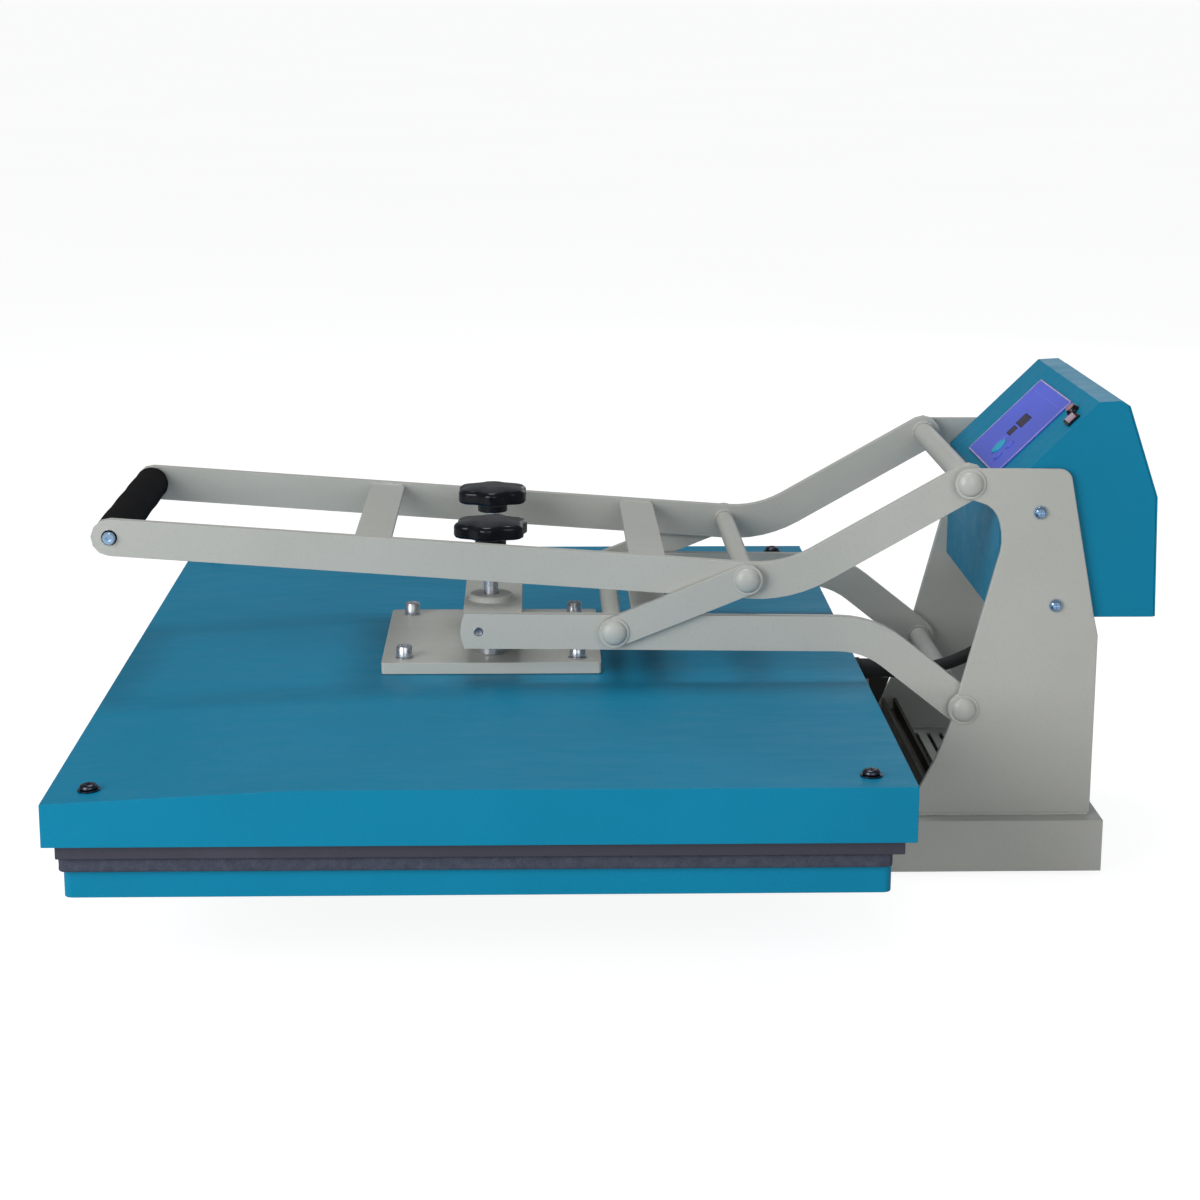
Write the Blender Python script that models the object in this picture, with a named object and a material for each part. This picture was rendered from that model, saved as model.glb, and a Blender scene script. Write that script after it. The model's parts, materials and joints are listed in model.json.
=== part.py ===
"""Large-format clamshell heat press: a folded steel base, a fixed table with a
silicone pad, and a heated platen that a toggle linkage presses down on it.

Frame: origin under the middle of the machine on the surface it stands on,
+X to the operator's right, +Y to the rear, +Z up. All sizes are in metres.
Side outlines are lists of (y, z) points, and plates are extruded along X."""

import math

import bmesh
import bpy
from mathutils import Matrix, Vector

GAP = 0.0003

# Pivots of the linkage, as (y, z), with the press closed.
PIVOT_A = (0.2760, 0.3265)
PIVOT_B = (0.2770, 0.1380)
PIVOT_C = (0.0972, 0.2475)
PIVOT_D = (-0.0109, 0.2038)

# Rows of plates across the width, from the middle outwards.
ARM_INNER = 0.1170
ARM_OUTER = 0.1250
LINK_INNER = 0.1256
LINK_OUTER = 0.1316
PLATE_INNER = 0.1275
PLATE_OUTER = 0.1325

# Base and side plates.
FOOT_HEIGHT = 0.003
FOOT_RADIUS = 0.016
BASE_HALF_WIDTH = 0.1483
BASE_TOP = 0.0467
BASE_FRONT = 0.1850
BASE_REAR = 0.3934
SHEET = 0.0020
FRAME_FRONT = -0.3600
RAIL_WIDTH = 0.050
RISER_WIDTH = 0.030
PLATE_TOP = 0.3385
PLATE_REAR = 0.3853
BOSS_RADIUS = 0.0130

# Table and pad.
TABLE_HALF_WIDTH = 0.3940
TABLE_FRONT = -0.4160
TABLE_REAR = 0.1830
TABLE_BOTTOM = 0.0740
TABLE_TOP = 0.0950
PAD_HALF_WIDTH = 0.4000
PAD_FRONT = -0.4185
PAD_REAR = 0.1830
PAD_THICKNESS = 0.0107

# Heated platen.
COVER_HALF_WIDTH = 0.4125
COVER_FRONT = -0.4270
COVER_REAR = 0.1980
COVER_BOTTOM = 0.1180
COVER_TOP = 0.1597
COVER_FRONT_TOP = 0.1502
COVER_BEND = -0.2470
COVER_SHEET = 0.0015
PLATEN_HALF_WIDTH = 0.4040
PLATEN_FRONT = -0.4190
PLATEN_REAR = 0.1905
PLATEN_THICKNESS = 0.0120
BLANKET_INSET = 0.012
BLANKET_TOP = 0.1440

# Mounting plate and its cap screws.
MOUNT_HALF_WIDTH = 0.0955
MOUNT_FRONT = -0.2030
MOUNT_REAR = -0.0200
MOUNT_THICKNESS = 0.0097
SCREW_X = 0.0780
SCREW_Y = (-0.1845, -0.0398)
M8_RADIUS = 0.0040
M8_HEAD_RADIUS = 0.0066
M8_HEAD_HEIGHT = 0.0092

# Cross beam, pressure studs and knobs.
BEAM_FRONT = -0.1342
BEAM_REAR = -0.0860
BEAM_BOTTOM = 0.1880
BEAM_TOP = 0.2160
STUD_X = 0.0600
STUD_Y = -0.1120
STUD_RADIUS = 0.0060
STUD_CLEARANCE = 0.0004
WELD_BOSS_RADIUS = 0.0185
WELD_BOSS_TOP = 0.2212
COLLAR_RADIUS = 0.0115
COLLAR_HEIGHT = 0.0110
KNOB_RADIUS = 0.0320
KNOB_LOBES = 6
KNOB_HUB_RADIUS = 0.0130
KNOB_HUB_BOTTOM = 0.2615
KNOB_HEAD_BOTTOM = 0.2705
KNOB_HEAD_TOP = 0.2825
KNOB_CROWN_TOP = 0.2850
KNOB_TURN = (math.radians(-7.7), math.radians(-0.5))
KNOB_RAISE = {"left": 0.0059, "right": 0.0}

# Arms, links, straps and handle.
ARM_HALF_HEIGHT = 0.0150
LOWER_HALF_HEIGHT = 0.0146
LINK_HALF_HEIGHT = 0.0125
UPPER_PATH = ((-0.4180, 0.2826), (0.1300, 0.2432), PIVOT_A)
LOWER_PATH = ((-0.1330, 0.2040), (0.1985, 0.2002), PIVOT_B)
UPPER_BEND = 0.100
LOWER_BEND = 0.075
LOWER_NOSE = 0.0032
STRAP_THICKNESS = 0.0050
STRAP_WIDTH = 0.0300
UPPER_STRAPS = (("upper_strap_front", -0.2070), ("upper_strap_rear", 0.0165))
LOWER_STRAP_Y = 0.0195
STRAP_DROP = 0.0020
PIN_RADIUS = 0.0060
PIN_CLEARANCE = 0.0004
DOME_RADIUS = 0.0102
DOME_HEIGHT = 0.0062
TUBE_RADIUS = {"a": 0.0092, "b": 0.0085, "c": 0.0080, "d": 0.0080}
GRIP_RADIUS = 0.0150
GRIP_BORE = 0.0066
HANDLE_ROD_RADIUS = 0.0060
HANDLE_HEAD_RADIUS = 0.0072
HANDLE_HEAD_HEIGHT = 0.0042

# Control box.
BOX_HALF_WIDTH = 0.1266
BOX_SHEET = 0.0015
BOX_FRONT = 0.3020
BOX_BOTTOM = 0.2145
BOX_KNEE = 0.3160
BOX_BROW = (0.3790, 0.3920)
BOX_BACK = ((0.3970, 0.3930), (0.4040, 0.3890), (0.4300, 0.3140), (0.4330, 0.2145))
BOX_SCREWS = ((0.3335, 0.3031), (0.3493, 0.2258))
BOX_SCREW_RADIUS = 0.0025
BOX_SCREW_HEAD = 0.0055

# Fittings on the sloping face: x across, and up along the slope from its lower edge.
PANEL_X = (-0.0585, 0.0690)
PANEL_UP = (0.0080, 0.0950)
PANEL_THICKNESS = 0.0012
WINDOW_BLOCKS = ((-0.0090, 0.0180, 0.0515, 0.0640), (-0.0065, 0.0105, 0.0400, 0.0495))
DISPLAY_MARGIN = 0.0028
SET_BUTTON = (0.0115, 0.0275, 0.0080)
UP_BUTTON = (0.0325, 0.0345, 0.0045)
DOWN_BUTTON = (0.0325, 0.0210, 0.0045)
BUTTON_PROUD = 0.0012
SWITCH_AT = (0.1077, 0.0835)
SWITCH_SIZE = (0.0180, 0.0125)
FUSE_AT = (0.0926, 0.0895)
FUSE_RADIUS = 0.0056
INLET_Y = 0.3900

# Heater cable, as (x, y, z) points from the gland to the platen's rear wall.
CABLE_RADIUS = 0.0055
CABLE_ROUTE = (
    (0.0450, 0.3600, 0.2137),
    (0.0450, 0.3594, 0.2010),
    (0.0450, 0.3440, 0.1880),
    (0.0450, 0.3160, 0.1740),
    (0.0450, 0.2815, 0.1560),
    (0.0450, 0.2440, 0.1475),
    (0.0450, 0.2200, 0.1488),
    (0.0450, 0.1996, 0.1500),
)
CABLE_POINTS = 41

CREAM = ("cream_paint", (0.44, 0.45, 0.42), 0.45, 0.0)
TEAL = ("teal_paint", (0.006, 0.250, 0.440), 0.35, 0.0)
ALUMINIUM = ("dark_aluminium", (0.06, 0.065, 0.09), 0.5, 0.6)
STEEL = ("zinc_steel", (0.62, 0.63, 0.65), 0.3, 1.0)
FOAM = ("black_foam", (0.012, 0.012, 0.012), 0.95, 0.0)
PLASTIC = ("black_plastic", (0.008, 0.009, 0.012), 0.25, 0.0)
SPONGE = ("grey_silicone", (0.075, 0.075, 0.10), 0.9, 0.0)
RUBBER = ("black_rubber", (0.02, 0.02, 0.02), 0.8, 0.0)
VIOLET = ("violet_panel", (0.09, 0.11, 0.66), 0.4, 0.0)
CYAN = ("cyan_button", (0.0, 0.33, 0.62), 0.4, 0.0)
WINDOW = ("dark_window", (0.03, 0.02, 0.05), 0.15, 0.0)
BOARD = ("green_board", (0.02, 0.12, 0.05), 0.5, 0.0)
WOOL = ("white_wool", (0.75, 0.73, 0.68), 0.95, 0.0)
RED = ("dark_red_plastic", (0.30, 0.05, 0.05), 0.35, 0.0)


def clear_scene():
    for obj in list(bpy.data.objects):
        bpy.data.objects.remove(obj, do_unlink=True)


def material(spec):
    name, colour, roughness, metallic = spec
    found = bpy.data.materials.get(name)
    if found:
        return found
    made = bpy.data.materials.new(name)
    made.use_nodes = True
    shader = made.node_tree.nodes["Principled BSDF"]
    shader.inputs["Base Color"].default_value = (*colour, 1.0)
    shader.inputs["Roughness"].default_value = roughness
    shader.inputs["Metallic"].default_value = metallic
    return made


def add_object(name, mesh_builder, spec, matrix=None, smooth=False):
    """Turns a filled bmesh into a named object with outward faces."""
    bmesh.ops.recalc_face_normals(mesh_builder, faces=mesh_builder.faces)
    mesh = bpy.data.meshes.new(name)
    mesh_builder.to_mesh(mesh)
    mesh_builder.free()
    if smooth:
        mesh.shade_smooth()
        mesh.set_sharp_from_angle(angle=math.radians(35))
    mesh.materials.append(material(spec))
    obj = bpy.data.objects.new(name, mesh)
    bpy.context.scene.collection.objects.link(obj)
    if matrix is not None:
        obj.matrix_world = matrix
    return obj


def boolean(obj, cutter, operation="DIFFERENCE"):
    cutter.hide_render = True
    cutter.display_type = "WIRE"
    modifier = obj.modifiers.new(operation.lower(), "BOOLEAN")
    modifier.object = cutter
    modifier.operation = operation
    modifier.solver = "EXACT"


# Outlines -------------------------------------------------------------------


def arc(centre, radius, start, stop, steps):
    """Points on a circle in the (y, z) plane, from one angle to another in degrees."""
    points = []
    for step in range(steps + 1):
        angle = math.radians(start + (stop - start) * step / steps)
        points.append((centre[0] + radius * math.cos(angle), centre[1] + radius * math.sin(angle)))
    return points


def curve_between(start, handle, stop, steps):
    """Points of a quadratic curve, without its first point."""
    points = []
    for step in range(1, steps + 1):
        t = step / steps
        weights = ((1 - t) ** 2, 2 * t * (1 - t), t**2)
        points.append(tuple(sum(w * p[i] for w, p in zip(weights, (start, handle, stop))) for i in (0, 1)))
    return points


def bent_centreline(path, radius, steps=6):
    """Points with unit directions along three path points, with the bend rounded."""
    first, corner, last = (Vector(p) for p in path)
    before = (corner - first).normalized()
    after = (last - corner).normalized()
    turn = before.angle_signed(after)
    reach = radius * math.tan(abs(turn) / 2)
    entry = corner - before * reach
    side = 1 if before.x * after.y - before.y * after.x > 0 else -1
    centre = entry + side * radius * Vector((-before.y, before.x))
    samples = [(first, before)]
    for step in range(steps + 1):
        spin = Matrix.Rotation(side * abs(turn) * step / steps, 2)
        samples.append((centre + spin @ (entry - centre), spin @ before))
    samples.append((last, after))
    return samples


def bar_outline(samples, half_height, nose=None, steps=6):
    """The outline of a flat bar of even height along a centreline. Its far end is
    round, and its near end is round too unless nose gives a shallow bulge."""
    upper = [p + half_height * Vector((-d.y, d.x)) for p, d in samples]
    lower = [p - half_height * Vector((-d.y, d.x)) for p, d in samples]
    outline = [tuple(p) for p in lower]
    end, heading = samples[-1]
    angle = math.degrees(math.atan2(heading.y, heading.x))
    outline += arc(tuple(end), half_height, angle - 90, angle + 90, steps)[1:-1]
    outline += [tuple(p) for p in reversed(upper)]
    start, heading = samples[0]
    angle = math.degrees(math.atan2(heading.y, heading.x))
    if nose is None:
        outline += arc(tuple(start), half_height, angle + 90, angle + 270, steps)[1:-1]
    else:
        tip = start - heading * nose * 2
        outline += curve_between(outline[-1], tuple(tip), outline[0], 4)[:-1]
    return outline


# Solids ---------------------------------------------------------------------


def prism(name, outline, x_low, x_high, spec, smooth=False):
    """A plate cut to a (y, z) outline, filling x_low to x_high."""
    made = bmesh.new()
    low = [made.verts.new((x_low, y, z)) for y, z in outline]
    high = [made.verts.new((x_high, y, z)) for y, z in outline]
    made.faces.new(low)
    made.faces.new(list(reversed(high)))
    for index in range(len(outline)):
        after = (index + 1) % len(outline)
        made.faces.new((low[index], high[index], high[after], low[after]))
    return add_object(name, made, spec, smooth=smooth)


def block(name, low, high, spec):
    """A box between two corners."""
    outline = [(low[1], low[2]), (high[1], low[2]), (high[1], high[2]), (low[1], high[2])]
    return prism(name, outline, low[0], high[0], spec)


def turned(name, profile, spec, matrix, sides=24, ring=False):
    """A solid turned about local Z from (radius, height) points. A ring's profile is a
    closed loop; any other profile starts and ends on the axis."""
    made = bmesh.new()
    rows = []
    for radius, height in profile:
        if radius == 0:
            rows.append([made.verts.new((0, 0, height))])
            continue
        angles = [2 * math.pi * side / sides for side in range(sides)]
        rows.append([made.verts.new((radius * math.cos(a), radius * math.sin(a), height)) for a in angles])
    pairs = list(zip(rows, rows[1:])) + ([(rows[-1], rows[0])] if ring else [])
    for one, two in pairs:
        for side in range(sides):
            after = (side + 1) % sides
            if len(one) == 1:
                made.faces.new((one[0], two[side], two[after]))
            elif len(two) == 1:
                made.faces.new((one[side], two[0], one[after]))
            else:
                made.faces.new((one[side], two[side], two[after], one[after]))
    return add_object(name, made, spec, matrix, smooth=True)


def across(y, z, x=0.0, flip=False):
    """Local Z points along +X, or along -X when flipped, from (x, y, z)."""
    quarter = -math.pi / 2 if flip else math.pi / 2
    return Matrix.Translation((x, y, z)) @ Matrix.Rotation(quarter, 4, "Y")


def upright(x, y, z):
    return Matrix.Translation((x, y, z))


def drill(obj, centres, radius, x_low, x_high, sides=20):
    """Cuts round holes along X at (y, z) centres."""
    made = bmesh.new()
    for y, z in centres:
        place = Matrix.Translation(((x_low + x_high) / 2, y, z)) @ Matrix.Rotation(math.pi / 2, 4, "Y")
        bmesh.ops.create_cone(
            made, cap_ends=True, segments=sides, radius1=radius, radius2=radius,
            depth=x_high - x_low, matrix=place,
        )
    boolean(obj, add_object(obj.name + "_holes", made, STEEL))


def drill_down(obj, centres, radius, z_low, z_high, sides=16):
    """Cuts round holes along Z at (x, y) centres."""
    made = bmesh.new()
    for x, y in centres:
        bmesh.ops.create_cone(
            made, cap_ends=True, segments=sides, radius1=radius, radius2=radius,
            depth=z_high - z_low, matrix=Matrix.Translation((x, y, (z_low + z_high) / 2)),
        )
    boolean(obj, add_object(obj.name + "_bores", made, STEEL))


def mirrored_pair(name, build):
    """Builds the left and right copies of a plate; build takes a name and a side."""
    return [build(f"{name}_left", -1), build(f"{name}_right", 1)]


def side_span(side, inner, outer):
    return (inner, outer) if side > 0 else (-outer, -inner)


# Base -----------------------------------------------------------------------


def make_base_box():
    """A folded steel box, vented on top, that carries the side plates."""
    box = block(
        "base_box", (-BASE_HALF_WIDTH, BASE_FRONT, FOOT_HEIGHT),
        (BASE_HALF_WIDTH, BASE_REAR, BASE_TOP), CREAM,
    )
    inside = block(
        "base_box_inside", (-BASE_HALF_WIDTH + SHEET, BASE_FRONT + SHEET, FOOT_HEIGHT + SHEET),
        (BASE_HALF_WIDTH - SHEET, BASE_REAR - SHEET, BASE_TOP - SHEET), CREAM,
    )
    boolean(box, inside)
    vents = bmesh.new()
    for side in (-1, 1):
        for row in range(7):
            place = Matrix.Translation((side * 0.064, 0.2660 + 0.0110 * row, BASE_TOP))
            bmesh.ops.create_cube(vents, size=1, matrix=place @ Matrix.Diagonal((0.096, 0.0038, 0.02, 1)))
    boolean(box, add_object("base_box_vents", vents, CREAM))
    return box


def make_base_frame():
    """Two rails and a front bar welded into a U, with risers that carry the table."""
    rear = BASE_FRONT - GAP
    outer = block(
        "base_frame", (-BASE_HALF_WIDTH, FRAME_FRONT, FOOT_HEIGHT),
        (BASE_HALF_WIDTH, rear, BASE_TOP), CREAM,
    )
    inner_half = BASE_HALF_WIDTH - RAIL_WIDTH
    boolean(outer, block(
        "base_frame_bay", (-inner_half, FRAME_FRONT + RAIL_WIDTH, 0), (inner_half, rear + 0.01, 0.06), CREAM,
    ))
    for index, (low, high) in enumerate(((FRAME_FRONT, FRAME_FRONT + RISER_WIDTH), (rear - RISER_WIDTH, rear))):
        boolean(outer, block(
            f"base_frame_riser_{index}", (-BASE_HALF_WIDTH, low, BASE_TOP - 0.005),
            (BASE_HALF_WIDTH, high, TABLE_BOTTOM - GAP), CREAM,
        ), "UNION")
    return outer


def make_feet():
    places = {
        "foot_front_left": (-0.120, FRAME_FRONT + 0.025),
        "foot_front_right": (0.120, FRAME_FRONT + 0.025),
        "foot_rear_left": (-0.120, BASE_REAR - 0.025),
        "foot_rear_right": (0.120, BASE_REAR - 0.025),
    }
    for name, (x, y) in places.items():
        top = FOOT_HEIGHT - GAP
        profile = [(0, 0), (FOOT_RADIUS, 0), (FOOT_RADIUS, top), (0, top)]
        turned(name, profile, RUBBER, upright(x, y, 0), sides=16)


def side_plate_outline():
    """From the foot of the rear edge round the top, the throat and the lower boss."""
    foot = BASE_TOP + GAP
    outline = [(PLATE_REAR, foot), (PLATE_REAR, 0.2000), (0.3810, 0.2181)]
    outline += arc((0.3487, PLATE_TOP - 0.0102), 0.0102, 8, 90, 5)
    outline += arc(PIVOT_A, BOSS_RADIUS - 0.0008, 90, 250, 9)
    outline += curve_between((0.2790, 0.3116), (0.3035, 0.3110), (0.3032, 0.2770), 7)
    outline += curve_between((0.3032, 0.2770), (0.3030, 0.2700), (0.3000, 0.2610), 2)
    outline += [(0.2722, 0.1507)]
    outline += arc(PIVOT_B, BOSS_RADIUS, 130, 225, 6)
    outline += [(0.2549, 0.0950), (0.2310, foot)]
    return outline


def make_side_plates():
    outline = side_plate_outline()

    def build(name, side):
        low, high = side_span(side, PLATE_INNER, PLATE_OUTER)
        plate = prism(name, outline, low, high, CREAM)
        drill(plate, (PIVOT_A, PIVOT_B), PIN_RADIUS + PIN_CLEARANCE, low - 0.005, high + 0.005)
        drill(plate, BOX_SCREWS, BOX_SCREW_RADIUS + GAP, low - 0.005, high + 0.005, sides=12)
        return plate

    mirrored_pair("side_plate", build)


def rounded_rectangle(x_half, y_low, y_high, radius, steps=4):
    """Corner points of a rounded rectangle in the (x, y) plane."""
    corners = ((x_half, y_low, -90), (x_half, y_high, 0), (-x_half, y_high, 90), (-x_half, y_low, 180))
    points = []
    for x, y, start in corners:
        centre_x = x - math.copysign(radius, x)
        centre_y = y + radius if y == y_low else y - radius
        points += arc((centre_x, centre_y), radius, start, start + 90, steps)
    return points


def slab(name, outline, z_low, z_high, spec):
    """A plate cut to an (x, y) outline, filling z_low to z_high."""
    made = bmesh.new()
    low = [made.verts.new((x, y, z_low)) for x, y in outline]
    high = [made.verts.new((x, y, z_high)) for x, y in outline]
    made.faces.new(list(reversed(low)))
    made.faces.new(high)
    for index in range(len(outline)):
        after = (index + 1) % len(outline)
        made.faces.new((low[index], low[after], high[after], high[index]))
    return add_object(name, made, spec)


def make_table():
    table = slab(
        "lower_table", rounded_rectangle(TABLE_HALF_WIDTH, TABLE_FRONT, TABLE_REAR, 0.006),
        TABLE_BOTTOM, TABLE_TOP, TEAL,
    )
    hollow = slab(
        "lower_table_inside",
        rounded_rectangle(TABLE_HALF_WIDTH - 0.003, TABLE_FRONT + 0.003, TABLE_REAR - 0.003, 0.004),
        TABLE_BOTTOM + 0.008, TABLE_TOP - 0.006, TEAL,
    )
    boolean(table, hollow)
    made = bmesh.new()
    for x in (-0.27, 0.27):
        place = Matrix.Translation((x, -0.115, TABLE_BOTTOM)) @ Matrix.Diagonal((0.16, 0.42, 0.02, 1))
        bmesh.ops.create_cube(made, size=1, matrix=place)
    boolean(table, add_object("lower_table_underside", made, TEAL))
    slab(
        "silicone_pad", rounded_rectangle(PAD_HALF_WIDTH, PAD_FRONT, PAD_REAR, 0.004, 2),
        TABLE_TOP + GAP, TABLE_TOP + GAP + PAD_THICKNESS, SPONGE,
    )


# Heated platen --------------------------------------------------------------


def make_platen():
    """The cover is a folded tray, open underneath, over the blanket and the hot plate."""
    top = [(COVER_REAR, COVER_TOP), (COVER_BEND, COVER_TOP), (COVER_FRONT, COVER_FRONT_TOP)]
    outline = [(COVER_FRONT, COVER_BOTTOM), (COVER_REAR, COVER_BOTTOM)] + top
    cover = prism("platen_cover", outline, -COVER_HALF_WIDTH, COVER_HALF_WIDTH, TEAL)
    wall = COVER_SHEET
    inside = [(COVER_FRONT + wall, COVER_BOTTOM - 0.01), (COVER_REAR - wall, COVER_BOTTOM - 0.01)]
    inside += [(COVER_REAR - wall, COVER_TOP - wall), (COVER_BEND, COVER_TOP - wall)]
    inside += [(COVER_FRONT + wall, COVER_FRONT_TOP - wall)]
    boolean(cover, prism("platen_cover_inside", inside, -COVER_HALF_WIDTH + wall, COVER_HALF_WIDTH - wall, TEAL))
    plate_bottom = TABLE_TOP + PAD_THICKNESS + 2 * GAP
    plate_top = plate_bottom + PLATEN_THICKNESS
    block(
        "heat_platen", (-PLATEN_HALF_WIDTH, PLATEN_FRONT, plate_bottom),
        (PLATEN_HALF_WIDTH, PLATEN_REAR, plate_top), ALUMINIUM,
    )
    blanket = block(
        "insulation_blanket", (-PLATEN_HALF_WIDTH + BLANKET_INSET, PLATEN_FRONT + BLANKET_INSET, plate_top + GAP),
        (PLATEN_HALF_WIDTH - BLANKET_INSET, PLATEN_REAR - BLANKET_INSET, BLANKET_TOP), WOOL,
    )
    bores = [(x, y) for x in (-SCREW_X, SCREW_X) for y in SCREW_Y]
    drill_down(blanket, bores, M8_RADIUS + 0.002, 0.10, 0.16, sides=10)
    drill_down(cover, bores, M8_RADIUS + GAP, 0.15, 0.17, sides=12)


def make_mounting_plate():
    low = COVER_TOP + GAP
    high = low + MOUNT_THICKNESS
    plate = slab(
        "mounting_plate", rounded_rectangle(MOUNT_HALF_WIDTH, MOUNT_FRONT, MOUNT_REAR, 0.003, 2), low, high, CREAM,
    )
    bores = [(x, y) for x in (-SCREW_X, SCREW_X) for y in SCREW_Y]
    drill_down(plate, bores, M8_RADIUS + GAP, low - 0.005, high + 0.005, sides=12)
    shank_bottom = TABLE_TOP + PAD_THICKNESS + PLATEN_THICKNESS + 4 * GAP
    names = ("plate_screw_front_left", "plate_screw_rear_left", "plate_screw_front_right", "plate_screw_rear_right")
    socket = 0.0036
    for name, (x, y) in zip(names, bores):
        base = high + GAP
        top = base + M8_HEAD_HEIGHT
        profile = [
            (0, shank_bottom), (M8_RADIUS, shank_bottom), (M8_RADIUS, base),
            (M8_HEAD_RADIUS, base), (M8_HEAD_RADIUS, top - 0.0006), (M8_HEAD_RADIUS - 0.0006, top),
            (socket, top), (socket, top - 0.004), (0, top - 0.004),
        ]
        turned(name, profile, STEEL, upright(x, y, 0), sides=12)


# Pressure adjustment --------------------------------------------------------


def make_cross_beam():
    """The bar between the lower arms, with a welded boss round each stud."""
    inner = ARM_INNER - GAP
    beam = block("cross_beam", (-inner, BEAM_FRONT, BEAM_BOTTOM), (inner, BEAM_REAR, BEAM_TOP), CREAM)
    for index, x in enumerate((-STUD_X, STUD_X)):
        profile = [
            (0, BEAM_TOP - 0.004), (WELD_BOSS_RADIUS, BEAM_TOP - 0.004), (WELD_BOSS_RADIUS, WELD_BOSS_TOP - 0.0015),
            (WELD_BOSS_RADIUS - 0.0015, WELD_BOSS_TOP), (0, WELD_BOSS_TOP),
        ]
        boolean(beam, turned(f"cross_beam_boss_{index}", profile, CREAM, upright(x, STUD_Y, 0), sides=20), "UNION")
    centres = [(x, STUD_Y) for x in (-STUD_X, STUD_X)]
    drill_down(beam, centres, STUD_RADIUS + STUD_CLEARANCE, BEAM_BOTTOM - 0.01, WELD_BOSS_TOP + 0.01, sides=16)


def knob_outline(radius, turn, steps=6):
    """A star outline whose lobes and hollows follow one cosine, flattened on the lobes."""
    points = []
    count = KNOB_LOBES * steps
    for index in range(count):
        angle = 2 * math.pi * index / count
        wave = math.cos(KNOB_LOBES * angle)
        reach = radius * (1 - 0.085 * (1 - wave) ** 1.4 / 2**0.4)
        points.append((reach * math.cos(angle + turn), reach * math.sin(angle + turn)))
    return points


def make_knob(name, x, turn, raised):
    """Star head over a round hub, closed on top and bored from below for the stud."""
    made = bmesh.new()
    bore = STUD_RADIUS + STUD_CLEARANCE
    outline = knob_outline(KNOB_RADIUS, turn)
    count = len(outline)
    circle = [Vector(p).normalized() for p in outline]

    def ring(points, z):
        return [made.verts.new((p[0], p[1], z)) for p in points]

    rings = [
        ring([bore * p for p in circle], KNOB_HUB_BOTTOM + 0.014),
        ring([bore * p for p in circle], KNOB_HUB_BOTTOM),
        ring([KNOB_HUB_RADIUS * p for p in circle], KNOB_HUB_BOTTOM),
        ring([KNOB_HUB_RADIUS * p for p in circle], KNOB_HEAD_BOTTOM),
        ring([0.95 * Vector(p) for p in outline], KNOB_HEAD_BOTTOM),
        ring(outline, KNOB_HEAD_BOTTOM + 0.0015),
        ring(outline, KNOB_HEAD_TOP - 0.0025),
        ring([0.93 * Vector(p) for p in outline], KNOB_HEAD_TOP),
        ring([0.45 * KNOB_RADIUS * p for p in circle], KNOB_CROWN_TOP),
    ]
    for one, two in zip(rings, rings[1:]):
        for index in range(count):
            after = (index + 1) % count
            made.faces.new((one[index], two[index], two[after], one[after]))
    made.faces.new(rings[0])
    made.faces.new(rings[-1])
    return add_object(name, made, PLASTIC, upright(x, STUD_Y, raised), smooth=True)


def make_pressure_screws():
    plate_top = COVER_TOP + GAP + MOUNT_THICKNESS
    for name, x, turn in zip(("left", "right"), (-STUD_X, STUD_X), reversed(KNOB_TURN)):
        raised = KNOB_RAISE[name]
        make_knob(f"pressure_knob_{name}", x, turn, raised)
        foot = plate_top + GAP
        profile = [
            (0, foot), (COLLAR_RADIUS, foot), (COLLAR_RADIUS, foot + COLLAR_HEIGHT),
            (STUD_RADIUS, foot + COLLAR_HEIGHT), (STUD_RADIUS, KNOB_HUB_BOTTOM + 0.013 + raised),
            (0, KNOB_HUB_BOTTOM + 0.013 + raised),
        ]
        turned(f"pressure_stud_{name}", profile, STEEL, upright(x, STUD_Y, 0), sides=16)


# Linkage --------------------------------------------------------------------


def make_arms():
    upper = bar_outline(bent_centreline(UPPER_PATH, UPPER_BEND), ARM_HALF_HEIGHT)
    lower = bar_outline(bent_centreline(LOWER_PATH, LOWER_BEND), LOWER_HALF_HEIGHT, nose=LOWER_NOSE)
    link_path = [(Vector(PIVOT_C), (Vector(PIVOT_D) - Vector(PIVOT_C)).normalized())]
    link_path.append((Vector(PIVOT_D), link_path[0][1]))
    link = bar_outline(link_path, LINK_HALF_HEIGHT, steps=8)
    hole = PIN_RADIUS + PIN_CLEARANCE

    def plate(name, side, outline, inner, outer, holes):
        low, high = side_span(side, inner, outer)
        made = prism(name, outline, low, high, CREAM)
        drill(made, holes, hole, low - 0.005, high + 0.005, sides=16)
        return made

    for side, label in ((-1, "left"), (1, "right")):
        plate(f"upper_arm_{label}", side, upper, ARM_INNER, ARM_OUTER, (UPPER_PATH[0], PIVOT_A, PIVOT_C))
        plate(f"lower_arm_{label}", side, lower, ARM_INNER, ARM_OUTER, (PIVOT_B,))
        plate(f"link_{label}", side, link, LINK_INNER, LINK_OUTER, (PIVOT_C, PIVOT_D))


def upper_centre(y):
    """Height of the upper arm's straight front limb at y."""
    (y0, z0), (y1, z1), _ = UPPER_PATH
    return z0 + (z1 - z0) * (y - y0) / (y1 - y0)


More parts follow.
